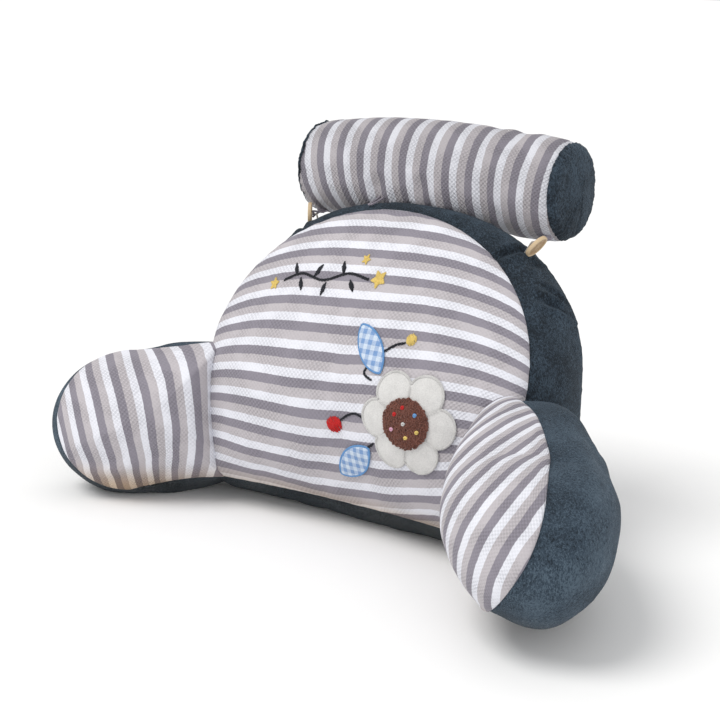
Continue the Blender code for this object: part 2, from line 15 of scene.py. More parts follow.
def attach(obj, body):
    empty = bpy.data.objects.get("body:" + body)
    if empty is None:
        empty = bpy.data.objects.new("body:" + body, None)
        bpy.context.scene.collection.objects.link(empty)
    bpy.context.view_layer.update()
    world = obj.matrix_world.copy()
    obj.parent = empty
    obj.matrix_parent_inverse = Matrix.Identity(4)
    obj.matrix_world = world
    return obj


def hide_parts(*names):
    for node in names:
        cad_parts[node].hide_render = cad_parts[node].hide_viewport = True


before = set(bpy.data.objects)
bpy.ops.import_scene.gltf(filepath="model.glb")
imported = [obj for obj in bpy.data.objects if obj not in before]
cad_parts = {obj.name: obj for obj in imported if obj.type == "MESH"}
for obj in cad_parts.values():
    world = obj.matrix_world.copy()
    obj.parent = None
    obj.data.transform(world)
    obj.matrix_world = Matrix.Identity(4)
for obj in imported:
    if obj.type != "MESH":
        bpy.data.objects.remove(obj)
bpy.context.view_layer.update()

# ---- Cloth ----------------------------------------------------------------------------
CLOTH = 0.0020                # thickness of a striped panel or an end disc
GAP = 0.0003                  # air between pieces that touch
PATCH = 0.0014                # thickness of felt and gingham
PATCH_GAP = 0.0006            # how much further out its top lies than the cloth, at the least
PATCH_UNDER = 0.0001          # of a patch's underside above the cloth
PATCH_SHARES = np.array((     # a patch's rows of points, from its middle out to its edge
    0.10, 0.22, 0.34, 0.46, 0.58, 0.69, 0.79, 0.87, 0.93, 0.97, 0.99, 1.0,
))
SEAM_DIP = 0.0022             # over this length from its seam, a cloth thins to nothing
REPEAT = 0.0315               # three stripes: grey, beige, white
WAFFLE_PITCH = 0.0056         # between two cells along the weave
# How each cloth lies: its own repeat, where the first stripe starts, and how the stripes
# slant, bow and fan out on it. Each bend is in centimetres at a decimetre from the middle.
DRAPE_COLUMNS = ("repeat", "start", "slant", "bow", "bow_upward", "rise", "fan", "hem")
DRAPES = {
    "backrest": (0.03431, 0.858, -0.918, -0.542, 0.704, 0.175, 0.147, 0.168),
    "arm_left": (0.03163, 0.141, -1.548, -0.828, -0.577, -0.341, -1.132, 0.425),
    "arm_right": (0.02929, 0.754, 0.273, 4.840, -1.787, 0.165, -0.076, 0.611),
    "roll": (0.03054, 0.562, -0.946, -0.122, 0.536, 0.086, 0.892, 0.152),
}
ROLL_FRONT = 3.933            # how far round the roll, from its first column, its face lies
# Cloth simulation that fills the covers: ease is how much larger the cloth is than the form,
# and cap how far a point may move. Each form starts half the cap smaller.
SWELL = {
    "quality": 4, "mass": 0.002, "pressure": 30.0, "ease": 0.03, "bending": 0.05, "frames": 14,
    "cap": 0.0030, "evening": 8,
}
SOFTENING = 640               # passes that round a cushion's inner rows off
SEAM_HOLD = 0.0035            # how far from a seam the simulation holds the cloth
ROOT_HOLD = 0.050             # and how far from an arm's root
# How each cover is drawn in: the seed of its noise, how deep the seams' pinch and the puckers
# beside them are, and how high its lumps.
PUCKERS = {
    "backrest": (3, 0.0022, 0.0012, 0.0026),
    "arm_left": (11, 0.0022, 0.0010, 0.0022),
    "arm_right": (17, 0.0022, 0.0010, 0.0022),
}

# ---- Backrest: the same sizes as its solid ----------------------------------------------
FOLD_TOP = (0.220, 0.203)
FOLD_FOOT = (0.207, 0.031)
FOLD_BOW = 0.012
FRONT_Y = -0.070
FLOOR_BOW = 0.018
LEAN = math.radians(26.1)
LEAN_START_Z = 0.181
LEAN_SOFTNESS = 0.020
FRONT_RISE = 0.1775
BACK_FOOT = (0.226, 0.022)
BACK_SHOULDER = (0.226, 0.1985)
BACK_RISE = 0.187
BACK_SQUARENESS = 2.25
BACK_Y = 0.060
BACK_SHIFT = 0.007
FRONT_CENTRE_Z = 0.191
FRONT_CROWN = 0.048
FRONT_CROWN_TILT = math.radians(8)
BACK_CROWN = 0.020
CUSHION_FULLNESS = 0.6
GUSSET_BULGE = 0.09
FLOOR_BULGE = 0.22
FLOOR_SAG = 0.10

# ---- Arms -----------------------------------------------------------------------------
# flare turns an arm outwards and lean tips its inner face back, in degrees. reach, half,
# height, round, tip_out and curl shape the tip of that face's seam: how far out it is, half
# its height, its middle's height, how long it is drawn, how far it is pushed outwards, and
# its top more than that. The bows bend the seams' long edges up, outer_sag the outer seam's
# lower edge. crown, fullness, middle_out and middle_up shape the stuffed face, bulge and
# depth the band behind it, and outer_ sizes the face at the arm's outside.
ARM_SIZES = {
    "left": {
        "side": -1, "flare": 42.8, "lean": 16.0, "reach": 0.1991, "half": 0.0884,
        "height": 0.0962, "round": 1.009, "tip_out": 0.0219, "curl": 0.0, "top_bow": 0.0,
        "bottom_bow": 0.0041, "crown": 0.0660, "fullness": 0.57, "middle_out": 0.0,
        "middle_up": 0.0, "bulge": 0.280, "depth": 0.0607, "outer_lean": -5.9,
        "outer_reach": 0.1900, "outer_half": 0.0726, "outer_height": 0.0853,
        "outer_round": 1.306, "outer_bow": -0.0057, "outer_sag": 0.0, "outer_crown": 0.0200,
    },
    "right": {
        "side": +1, "flare": 64.5, "lean": 27.1, "reach": 0.2681, "half": 0.0866,
        "height": 0.1114, "round": 1.264, "tip_out": 0.0235, "curl": -0.0207, "top_bow": 0.0124,
        "bottom_bow": -0.0018, "crown": 0.0828, "fullness": 0.62, "middle_out": 0.0329,
        "middle_up": -0.0065, "bulge": 0.211, "depth": 0.0791, "outer_lean": 8.0,
        "outer_reach": 0.2383, "outer_half": 0.0586, "outer_height": 0.1054,
        "outer_round": 1.185, "outer_bow": 0.0131, "outer_sag": -0.0340, "outer_crown": 0.0307,
    },
}
ARM_TAPER = 0.072             # over this length from the backrest, the band bulges less
ARM_LOW = {"left": 0.40, "right": 0.0}   # how much flatter the face is along its low edge,
ARM_LOW_TOP = 0.060                      # which begins to tell below this height,
ARM_LOW_BLEND = 0.045                    # and does in full this far below it
ARM_EASE = {"left": 30, "right": 160}     # passes that round the bend at the outer seam off
ARM_ROOT_TOP_Z = 0.152
ARM_ROOT_SINK = 0.012

# ---- Head roll ------------------------------------------------------------------------
ROLL_CENTRE = np.array((-0.001, 0.112, 0.4160))
ROLL_RADIUS = 0.0580
ROLL_BARREL = 0.0060
ROLL_LENGTH = 0.352
ROLL_DOME = {-1: 0.011, +1: 0.018}
ROLL_DROOP = 0.006
ROLL_END_ROWS = 14

# ---- Fasteners: a wooden button sewn to the side band, held by a loop of the roll --------
BUTTON_RADIUS = 0.0150
BUTTON_THICKNESS = 0.0048
BUTTON_RIM = 0.0022           # width of the raised rim
BUTTON_DISH = 0.0010
BUTTON_SIDES = 72
SHANK_RADIUS = 0.0011
SHANK_TWIST = 0.0042          # length of a turn of the threads round each other
LOOP_RADIUS = 0.0013
LOOP_TWIST = 0.0060
KNOT_HALVES = (0.0070, 0.0040, 0.0036)   # half sizes of the knot where a loop leaves the roll
LOOP_SPREAD = 0.0030          # half the distance between a loop's two strands
# height is of a button's middle above the side band, yaw and pitch the way its face looks,
# knee how far behind the button its thread turns towards the band.
FASTENER_COLUMNS = (
    "arch_deg", "share", "height", "yaw_deg", "pitch_deg", "knee", "roll_x", "roll_deg",
)
FASTENER_ROWS = {
    "left": (131.5, 0.97, 0.0154, 214, 0, 0.0058, -0.158, -119),
    "right": (47.5, 0.75, 0.0168, 0, -38, 0.0049, 0.166, -122),
}
MIDDLE_LOOP = {"arch_deg": 103, "share": 0.30, "roll_x": -0.048, "roll_deg": -155}

# ---- Patches on the front: a posy of felt, boucle and gingham ---------------------------
FLOWER_AT = (0.098, 0.165)    # x and z of its middle
FLOWER_RADIUS = 0.060
FLOWER_WAIST = 0.74           # radius between two petals, as a share
PETALS = 6
CENTRE_RADIUS = 0.028
CENTRE_THICKNESS = 0.0030
LEAF_COLUMNS = ("x", "z", "turn_deg", "half_length", "half_width")
LEAF_ROWS = {
    "patch_leaf_low": (0.020, 0.102, 222, 0.034, 0.0165),
    "patch_leaf_high": (0.036, 0.238, 130, 0.031, 0.0150),
}
KNOTS = (                     # x and z from the flower's middle, and the yarn
    (-0.012, 0.010, "red"), (0.013, 0.012, "sky"), (0.004, -0.014, "yellow"),
    (-0.015, -0.007, "pink"), (0.0, 0.001, "cream"), (0.017, -0.006, "yellow"),
    (-0.003, 0.018, "red"),
)
KNOT_RADIUS = 0.0019
KNOT_STEPS = 46
CURLS = {"Density": 520000.0, "Size": 0.0016, "Radius": 0.00050, "Seed": 3}

# ---- Embroidery on the front, x and z ---------------------------------------------------
STEMS = (
    ((0.046, 0.205), (0.034, 0.212), (0.040, 0.226), (0.036, 0.250)),
    ((0.052, 0.132), (0.042, 0.124), (0.030, 0.113), (0.008, 0.092)),
    ((0.040, 0.160), (0.026, 0.163), (0.014, 0.158), (0.004, 0.150)),
    ((0.038, 0.222), (0.052, 0.236), (0.066, 0.246), (0.078, 0.250)),
)
BERRIES = {"red": (-0.004, 0.144, 0.0098), "yellow": (0.084, 0.254, 0.0062)}
SPRIG = ((-0.118, 0.292), (-0.092, 0.303), (-0.058, 0.300), (-0.026, 0.311), (0.004, 0.308))
SPRIG_LEAVES = (
    # x, z, turn in degrees, half length, half width
    (-0.104, 0.306, 118, 0.0075, 0.0030), (-0.089, 0.292, -62, 0.0075, 0.0030),
    (-0.070, 0.309, 62, 0.0080, 0.0032), (-0.054, 0.291, -98, 0.0075, 0.0030),
    (-0.036, 0.316, 108, 0.0075, 0.0030), (-0.016, 0.299, -52, 0.0075, 0.0030),
)
STARS = ((-0.131, 0.286, 0.0068), (0.017, 0.310, 0.0098), (-0.010, 0.328, 0.0055))
# The distances between two threads of satin stitch, and how far the stitches wander.
EDGE_PITCH = 0.00062
DISC_PITCH = 0.00058
STAR_PITCH = 0.00052
LEAF_PITCH = 0.00060
SATIN_WANDER = 0.07
STEM_STITCH = 0.0040          # length of a stitch along a stem
STEM_SPREAD = 0.00085         # between two strands of a stem
STEM_STRANDS = 3
THREAD_RADII = {
    "edging": 0.00040, "vein": 0.00045, "knot": 0.00075, "leaf": 0.00038, "stem": 0.00050,
    "satin": 0.00042,
}
VEIN_REACH = (0.027, 0.033, 0.038, 0.043)   # places of a petal's crease, from the middle
VEIN_FORWARD = 0.0030         # how far a crease's thread is brought forwards, onto the felt

# ---- Points along and across each piece --------------------------------------------------
BACKREST_STEPS = {"fold": 56, "arch": 240, "floor": 120}
ARM_STEPS = {"edge": 46, "tip": 90, "fold": 46}
FACE_ROWS = 38
BAND_ROWS = 30
ROLL_SIDES = 160
ROLL_ROWS = 130

# ---- Colours (linear) -------------------------------------------------------------------
STRIPE_GREY = (0.262, 0.244, 0.284)
STRIPE_BEIGE = (0.500, 0.468, 0.490)
STRIPE_WHITE = (0.765, 0.770, 0.830)
# Painted warm floor bounce and shade, multiplied into the striped cloth near the floor.
STRIPE_BOUNCE_SHADE = (0.740, 0.560, 0.360)
PLUSH_DARK = (0.010, 0.014, 0.019)
PLUSH_MIDDLE = (0.036, 0.055, 0.078)
PLUSH_LIGHT = (0.080, 0.116, 0.152)
# Painted warm floor bounce and shade, multiplied into the plush near the floor.
PLUSH_BOUNCE_SHADE = (0.95, 0.62, 0.40)
CHARCOAL = (0.018, 0.020, 0.028)
CREAM = (0.700, 0.690, 0.675)
BROWN = (0.235, 0.092, 0.066)
RED = (0.640, 0.022, 0.022)
YELLOW = (0.860, 0.640, 0.190)
SKY = (0.160, 0.360, 0.680)
PINK = (0.760, 0.420, 0.560)
TAPE = (0.330, 0.300, 0.350)
THREAD = (0.620, 0.580, 0.520)
GINGHAM_WHITE = (0.62, 0.72, 0.84)
GINGHAM_BLUE = (0.115, 0.265, 0.560)
GINGHAM_THREAD = (0.75, 0.80, 0.88)
GINGHAM_SHADOW = (0.05, 0.10, 0.20)
GINGHAM_CHECK = 0.0105
WOOD_DARK = (0.28, 0.155, 0.070)
WOOD_LIGHT = (0.56, 0.40, 0.23)
WOOD_RIM = (0.66, 0.52, 0.34)
WOOD_HEART = (0.62, 0.48, 0.30)
YARNS = {
    # the material's name and colour, how dark it is between its fibres, the scale of its
    # grain, then roughness, sheen and relief
    "felt": ("cream_felt", CREAM, 0.82, 700.0, 0.95, 0.3, 0.0007),
    "cream": ("cream_thread", CREAM, 0.62, 1500.0, 0.6, 0.1, 0.0002),
    "brown": ("brown_boucle_yarn", BROWN, 0.50, 1300.0, 0.95, 0.25, 0.0004),
    "red": ("red_thread", RED, 0.60, 1500.0, 0.55, 0.1, 0.0002),
    "yellow": ("yellow_thread", YELLOW, 0.66, 1500.0, 0.55, 0.1, 0.0002),
    "sky": ("sky_blue_thread", SKY, 0.70, 1500.0, 0.55, 0.1, 0.0002),
    "pink": ("pink_thread", PINK, 0.72, 1500.0, 0.55, 0.1, 0.0002),
    "charcoal": ("charcoal_thread", CHARCOAL, 0.55, 1500.0, 0.55, 0.1, 0.0002),
    "tape": ("rolled_tape", TAPE, 0.60, 1400.0, 0.9, 0.2, 0.0004),
    "thread": ("button_thread", THREAD, 0.60, 1600.0, 0.8, 0.1, 0.0003),
}
PLUSHES = {"back": (0.0, -0.22), "arms": (3.7, 0.04)}   # seed of the pile, and its level: painted shade on the backrest and roll ends, painted light on the arms
# How much each striped cloth is dimmed as painted shade, the roll's most, and how deep its cells
# are.
STRIPED = {
    "backrest": (1.0, 0.0010), "arm_left": (1.0, 0.0012), "arm_right": (0.97, 0.0012),
    "roll": (0.84, 0.0018),
}

# ---- Camera and studio ------------------------------------------------------------------
CAMERA_PLACE = (0.95407, -1.46025, 0.64608)
CAMERA_RIGHT = (0.82362, 0.56673, 0.02183)
CAMERA_AHEAD = (-0.54481, 0.80129, -0.24724)
CAMERA_FOCAL = 1493.39 / 720  # as a share of the frame's width
SENSOR_WIDTH = 36
SKY_STRENGTH = 0.72
FLOOR_HALF = 70.0
FLOOR_PALE = 0.96


# ---- Seams ----------------------------------------------------------------------------
def stretch(start, end, steps, bow=(0.0, 0.0, 0.0)):
    """Points from start towards end, without end, bowed sideways at the middle."""
    t = np.arange(steps)[:, None] / steps
    return (1 - t) * np.array(start) + t * np.array(end) + 4 * t * (1 - t) * np.array(bow)


def arch(shoulder, rise, squareness, steps):
    """x and z along an arch, from its right shoulder over the top to its left one."""
    angle = np.pi * np.arange(steps) / steps
    cos, sin = np.cos(angle), np.sin(angle)
    power = 2 / squareness
    x = shoulder[0] * np.sign(cos) * np.abs(cos) ** power
    return np.stack([x, shoulder[1] + rise * sin ** power], axis=1)


def front_depth(z):
    soft = LEAN_SOFTNESS * np.logaddexp(0, (z - LEAN_START_Z) / LEAN_SOFTNESS)
    return FRONT_Y + math.tan(LEAN) * soft


def backrest_seam(shoulder, foot, rise, squareness, bow):
    fold, over, floor = BACKREST_STEPS.values()
    (top_x, top_z), (foot_x, foot_z) = shoulder, foot
    right = stretch((foot_x, 0, foot_z), (top_x, 0, top_z), fold, (bow, 0, 0))
    top = np.insert(arch(shoulder, rise, squareness, over), 1, 0.0, axis=1)
    left = stretch((-top_x, 0, top_z), (-foot_x, 0, foot_z), fold, (-bow, 0, 0))
    bottom = stretch((-foot_x, 0, foot_z), (foot_x, 0, foot_z), floor)
    return np.vstack([right, top, left, bottom])


def front_seam():
    seam = backrest_seam(FOLD_TOP, FOLD_FOOT, FRONT_RISE, 2.0, FOLD_BOW)
    seam[:, 1] = front_depth(seam[:, 2])
    floor = seam[-BACKREST_STEPS["floor"]:]
    floor[:, 1] += FLOOR_BOW * (1 - (floor[:, 0] / FOLD_FOOT[0]) ** 2)
    return seam


def back_seam():
    seam = backrest_seam(BACK_SHOULDER, BACK_FOOT, BACK_RISE, BACK_SQUARENESS, 0.0)
    seam[:, 1] = BACK_Y
    seam[:, 0] += BACK_SHIFT
    return seam


class Arm:
    """One arm: the seams of its inner face and of its outer face, in world coordinates."""

    def __init__(self, size):
        self.side = size["side"]
        flare = math.radians(size["flare"])
        self.along = np.array([self.side * math.cos(flare), -math.sin(flare), 0.0])
        self.outward = np.array([self.side * math.sin(flare), math.cos(flare), 0.0])
        fold_top, fold_foot = self.fold_point(FOLD_TOP), self.fold_point(FOLD_FOOT)
        self.start = (fold_top + fold_foot) / 2 * np.array([1, 1, 0])
        up, self.facing = self.tilted(size["lean"])
        self.face_up = up
        self.facing = -self.facing
        tip = self.tip(size["reach"], size["half"] * size["round"], size["tip_out"])
        tip[2] = size["height"]
        half = size["half"] * np.array([size["round"], 1.0])
        bows = FOLD_BOW, size["top_bow"], size["bottom_bow"]
        self.inner = self.outline(fold_foot, fold_top, tip, half, up, bows, size["curl"])
        up, self.outer_facing = self.tilted(size["outer_lean"])
        out = size["tip_out"] + size["depth"]
        tip = self.tip(size["outer_reach"], size["outer_half"] * size["outer_round"], out)
        tip[2] = size["outer_height"]
        half = size["outer_half"] * np.array([size["outer_round"], 1.0])
        root_foot = np.array([self.side * BACK_FOOT[0], BACK_Y, BACK_FOOT[1]])
        root_top = np.array([self.side * BACK_SHOULDER[0], BACK_Y, ARM_ROOT_TOP_Z])
        bows = 0.0, size["outer_bow"], size["outer_sag"]
        self.outer = self.outline(root_foot, root_top, tip, half, up, bows, 0.0)

    def fold_point(self, place):
        return np.array([self.side * place[0], front_depth(place[1]), place[1]])

    def tilted(self, degrees):
        """The upward and the outward direction of a face that leans back by that much."""
        lean, up = math.radians(degrees), np.array([0.0, 0.0, 1.0])
        return (
            up * math.cos(lean) + self.outward * math.sin(lean),
            self.outward * math.cos(lean) - up * math.sin(lean),
        )

    def tip(self, reach, half_length, out):
        return self.start + self.along * (reach - half_length) + self.outward * out

    def outline(self, foot, top, tip, half, up, bows, curl):
        """Closed seam: out at the bottom, round the tip, back along the top, down the root."""
        fold_bow, top_bow, bottom_bow = bows
        edge, round_steps, fold = ARM_STEPS.values()
        sink = np.array([-self.side * ARM_ROOT_SINK, 0.0, 0.0])
        angle = np.linspace(-np.pi / 2, np.pi / 2, round_steps)[:, None]
        cos, sin = np.cos(angle), np.sin(angle)
        round_tip = tip + half[0] * cos * self.along + half[1] * sin * up
        round_tip += curl * np.maximum(sin, 0) ** 2 * self.outward
        bottom = stretch(foot + sink, round_tip[0], edge, up * bottom_bow)
        back = stretch(round_tip[-1], top + sink, edge + 1, up * top_bow)[1:]
        root = stretch(top + sink, foot + sink, fold, (self.side * fold_bow, 0, 0))
        return np.vstack([bottom, round_tip, back, root])


# ---- Stuffed forms: rows of points, front face, band and back face -----------------------
def softened(loop):
    for _ in range(SOFTENING):
        loop = 0.5 * loop + 0.25 * (np.roll(loop, 1, axis=0) + np.roll(loop, -1, axis=0))
    return loop


def face_rows(seam, centre, normal, crown, fullness, count):
    """Rows of a stuffed face from its middle out to its seam, and the point at its middle."""
    centre, normal = np.array(centre), np.array(normal)
    round_seam = softened(seam)
    rows = []
    for share in np.sin(np.pi / 2 * np.arange(1, count + 1) / count):
        outline = share ** 2 * seam + (1 - share ** 2) * round_seam
        rows.append(centre + share * (outline - centre)
                    + normal * crown * (1 - share ** 2) ** fullness)
    return np.array(rows), centre + normal * crown


def band_rows(front, back, bulge, count):
    along = np.roll(front + back, -1, axis=0) - np.roll(front + back, 1, axis=0)
    across = back - front
    out = np.cross(across, along)
    out /= np.linalg.norm(out, axis=1, keepdims=True)
    swell = out * np.linalg.norm(across, axis=1, keepdims=True) * bulge
    steps = np.arange(1, count) / count
    return np.array([front + t * across + swell * math.sin(math.pi * t) for t in steps])


def eased(band, back, passes):
    """The band and the back face, with the bend at the seam between them rounded off."""
    rows = np.concatenate([band, back[::-1]])
    from_seam = np.arange(len(rows)) - len(band)
    weight = 0.5 * np.exp(-((from_seam[1:-1] / 7.0) ** 2))[:, None, None]
    for _ in range(passes):
        rows[1:-1] += weight * ((rows[:-2] + rows[2:]) / 2 - rows[1:-1])
    return rows[:len(band)], rows[len(band):][::-1]


def cloth_lengths(rows, pole):
    """How far each point is from the face's middle, measured along the cloth."""
    path = np.concatenate([np.broadcast_to(pole, rows[:1].shape), rows])
    return np.cumsum(np.linalg.norm(np.diff(path, axis=0), axis=2), axis=0)


def cloth_places(rows, pole, across, up):
    """Where each point lies on the flat cloth, as lengths across the face and up it."""
    flat = np.stack([(rows - pole) @ across, (rows - pole) @ up], axis=2)
    flat /= np.maximum(np.linalg.norm(flat, axis=2, keepdims=True), 1e-9)
    return flat * cloth_lengths(rows, pole)[:, :, None]


def draped(cloth, name):
    """The cloth's places as drawn: across, and along the run of the stripes."""
    lie = dict(zip(DRAPE_COLUMNS, DRAPES[name]))
    u, v = cloth[..., 0] / 0.1, cloth[..., 1] / 0.1
    bend = lie["slant"] * u + lie["bow"] * u ** 2 + lie["bow_upward"] * u ** 2 * v
    bend += lie["rise"] * v ** 2 + lie["fan"] * u * v + lie["hem"] * u ** 4
    turns = lie["start"] - (cloth[..., 1] + 0.01 * bend) / lie["repeat"]
    return np.stack([cloth[..., 0], turns * REPEAT], axis=-1)


def smooth_noise(points, size, seed):
    shift = Vector((seed * 13.7, seed * 7.31, seed * 3.13))
    flat = points.reshape(-1, 3)
    values = [noise.noise(Vector(point) / size + shift) for point in flat]
    return np.array(values).reshape(points.shape[:-1])


def seam_ripple(run, size, seed):
    """Noise along a seam: run is the length along it at each of its points."""
    line = np.stack([run / size, np.full_like(run, seed * 5.7), np.zeros_like(run)], axis=1)
    return np.array([noise.noise(Vector(point)) for point in line])


def run_along(seam):
    steps = np.linalg.norm(np.diff(seam, axis=0, append=seam[:1]), axis=1)
    return np.concatenate([[0.0], np.cumsum(steps)[:-1]])


def row_faces(rows, count, poles):
    """Quads between rows of points, and fans to the pole before them and the one after."""
    faces = []
    for row in range(rows - 1):
        for i in range(count):
            j = (i + 1) % count
            a, b = row * count, (row + 1) * count
            faces.append((a + i, b + i, b + j, a + j))
    last = (rows - 1) * count
    for i in range(count):
        j = (i + 1) % count
        faces.append((rows * count, i, j))
        if poles == 2:
            faces.append((rows * count + 1, last + j, last + i))
    return faces


def mesh_of(name, points, faces, cloth=None):
    """A mesh with its faces turned outwards; cloth is each point's place on the flat cloth."""
    mesh = bpy.data.meshes.new(name)
    mesh.from_pydata(points.tolist(), [], faces)
    bm = bmesh.new()
    bm.from_mesh(mesh)
    bmesh.ops.recalc_face_normals(bm, faces=bm.faces)
    bm.to_mesh(mesh)
    bm.free()
    if cloth is not None:
        set_cloth(mesh, cloth[numbers_of(mesh.loops, "vertex_index")])
    mesh.shade_smooth()
    return mesh


def numbers_of(items, name):
    """One whole number of each loop or polygon."""
    numbers = np.empty(len(items), np.int32)
    items.foreach_get(name, numbers)
    return numbers


def set_cloth(mesh, places):
    """Each corner's place on the flat cloth, as the mesh's UV map."""
    layer = mesh.uv_layers.new(name="cloth")
    layer.data.foreach_set("uv", places.astype(np.float32).ravel())


def normals_of(mesh):
    normals = np.empty(len(mesh.vertices) * 3, np.float32)
    mesh.vertex_normals.foreach_get("vector", normals)
    return normals.reshape(-1, 3).astype(float)


def points_of(mesh):
    points = np.empty(len(mesh.vertices) * 3, np.float32)
    mesh.vertices.foreach_get("co", points)
    return points.reshape(-1, 3).astype(float)


def set_points(mesh, points):
    mesh.vertices.foreach_set("co", points.astype(np.float32).ravel())
    mesh.update()


def crease_depth(points, creases):
    """How deep each point lies in the folds: each a valley along a line, with a lip beside it."""
    depth = np.zeros(len(points))
    for x0, y0, z0, x1, y1, z1, deep, width in creases:
        start, end = np.array((x0, y0, z0)), np.array((x1, y1, z1))
        run = end - start
        t = np.clip((points - start) @ run / (run @ run), 0.0, 1.0)
        away = np.linalg.norm(points - start - t[:, None] * run, axis=1)
        fade = np.sin(np.pi * (0.12 + 0.76 * t))
        lip = 0.42 * np.exp(-(((away - 2.0 * width) / (0.9 * width)) ** 2))
        depth += deep * fade * (np.exp(-((away / width) ** 2)) - lip)
    return depth


def swollen(mesh, held):
    """Where a cover's points go when simulation fills it, its seams held, up to a cap."""
    start = points_of(mesh)
    item = bpy.data.objects.new("swelling", mesh.copy())
    bpy.context.scene.collection.objects.link(item)
    group = item.vertex_groups.new(name="seams")
    for level in range(1, 11):
        pick = np.flatnonzero(np.round(held * 10) == level)
        if len(pick):
            group.add(pick.tolist(), level / 10, "REPLACE")
    modifier = item.modifiers.new("swell", "CLOTH")
    cloth = modifier.settings
    cloth.quality = SWELL["quality"]
    cloth.mass = SWELL["mass"]
    cloth.use_pressure = True
    cloth.uniform_pressure_force = SWELL["pressure"]
    cloth.shrink_min = -SWELL["ease"]
    cloth.bending_stiffness = SWELL["bending"]
    cloth.vertex_group_mass = "seams"
    cloth.effector_weights.gravity = 0.0
    modifier.collision_settings.use_collision = False
    scene = bpy.context.scene
    for moment in range(1, SWELL["frames"] + 1):
        scene.frame_set(moment)
    graph = bpy.context.evaluated_depsgraph_get()
    moves = points_of(item.evaluated_get(graph).data) - start
    bpy.data.objects.remove(item, do_unlink=True)
    scene.frame_set(1)
    cap = SWELL["cap"]
    reach = np.linalg.norm(moves, axis=1, keepdims=True)
    moves *= np.minimum(1.0, cap / np.maximum(reach, 1e-9))
    smaller = normals_of(mesh) * (cap / 2 * (1 - held))[:, None]
    return start - smaller + evened(mesh, moves, SWELL["evening"])


def evened(mesh, moves, passes):
    """Each point's move, averaged with those of its neighbours."""
    edges = np.empty(len(mesh.edges) * 2, np.int32)
    mesh.edges.foreach_get("vertices", edges)
    ends = edges.reshape(-1, 2)
    count = np.bincount(edges, minlength=len(moves))[:, None]
    for _ in range(passes):
        total = np.zeros_like(moves)
        np.add.at(total, ends[:, 0], moves[ends[:, 1]])
        np.add.at(total, ends[:, 1], moves[ends[:, 0]])
        moves = 0.4 * moves + 0.6 * total / count
    return moves


class Stuffed:
    """A stuffed cover: its closed mesh, and what is known of every point of it.

    sewn is the form before it is filled, and away how far a point is from its nearest seam.
    """

    def __init__(self, name, front, front_pole, band, back, back_pole, seam):
        self.count = front.shape[1]
        self.front_rows = len(front)
        rows = np.concatenate([front, band, back[::-1]])
        near = [cloth_lengths(front, front_pole), cloth_lengths(back, back_pole)]
        front_away, back_away = [lengths[-1] - lengths for lengths in near]
        band_away = np.minimum(
            np.linalg.norm(band - front[-1], axis=2), np.linalg.norm(band - back[-1], axis=2)
        )
        self.away = np.concatenate([front_away, band_away, back_away[::-1]])
        self.run = run_along(seam)
        self.sewn = np.vstack([rows.reshape(-1, 3), [front_pole, back_pole]])
        self.mesh = mesh_of(name, self.sewn, row_faces(len(rows), self.count, 2))
        self.rows = len(rows)

    def flat_away(self):
        return np.concatenate([self.away.ravel(), [1.0, 1.0]])

    def along_seam(self, values):
        return np.concatenate([np.tile(values, self.rows), [0.0, 0.0]])

    def move(self, distances):
        set_points(self.mesh, points_of(self.mesh) + normals_of(self.mesh) * distances[:, None])

    def swell(self, root=None):
        held = np.exp(-((self.flat_away() / SEAM_HOLD) ** 2))
        if root:
            middle, along = root
            out = (points_of(self.mesh) - middle) @ along
            held = np.maximum(held, np.clip(1 - out / ROOT_HOLD, 0, 1))
        set_points(self.mesh, swollen(self.mesh, held))

    def soften_and_pucker(self, seed, pinch, pucker, lumps, creases=()):
        points = points_of(self.mesh)
        away = self.flat_away()
        ripple = seam_ripple(self.run, 0.0075, seed)
        ripple = self.along_seam(ripple + 0.7 * seam_ripple(self.run, 0.016, seed + 1))
        distances = -pinch * np.exp(-((away / 0.0042) ** 2))
        slack = np.where(np.arange(self.rows) < self.front_rows + BAND_ROWS // 2, 0.35, 1.0)
        slack = np.concatenate([np.repeat(slack, self.count), [0.0, 0.0]])
        distances += pucker * slack * ripple * np.exp(-away / 0.011) * (away > 1e-6)
        calm = 1 - np.exp(-away / 0.020)
        distances += lumps * calm * smooth_noise(points, 0.085, seed)
        distances += 0.35 * lumps * calm * smooth_noise(points, 0.030, seed + 5)
        if creases:
            distances -= crease_depth(self.sewn, creases)
        self.move(distances)

    def rest_on_floor(self):
        points = points_of(self.mesh)
        points[:, 2] = np.maximum(points[:, 2], 0.0)
        set_points(self.mesh, points)

    def front_cloth(self, name, cloth):
        """A closed sheet over the front face, thin where it goes into the seam."""
        size = self.front_rows * self.count
        pole = self.rows * self.count
        pick = np.concatenate([np.arange(size), [pole]])
        points, normals = points_of(self.mesh)[pick], normals_of(self.mesh)[pick]
        away = np.concatenate([self.away[:self.front_rows].ravel(), [1.0]])
        rise = GAP + CLOTH * (1 - np.exp(-away / SEAM_DIP)) ** 0.6
        return sheet_mesh(name, points, normals, rise, self.front_rows, self.count, cloth)


def sheet_faces(rows, count):
    """Faces of a closed sheet: its top's rows and their pole, the same below, and its rim."""
    size = rows * count + 1
    rim = (rows - 1) * count
    upper = row_faces(rows, count, 1)
    lower = [tuple(size + i for i in face[::-1]) for face in upper]
    edge = [
        (rim + i, size + rim + i, size + rim + (i + 1) % count, rim + (i + 1) % count)
        for i in range(count)
    ]
    return upper + lower + edge


def sheet_mesh(name, points, normals, rise, rows, count, cloth):
    """A closed sheet: its top a rise above the points, its underside a gap above them."""
    both = np.vstack([points + normals * rise[:, None], points + normals * (GAP * 0.5)])
    return mesh_of(name, both, sheet_faces(rows, count), np.vstack([cloth, cloth]))


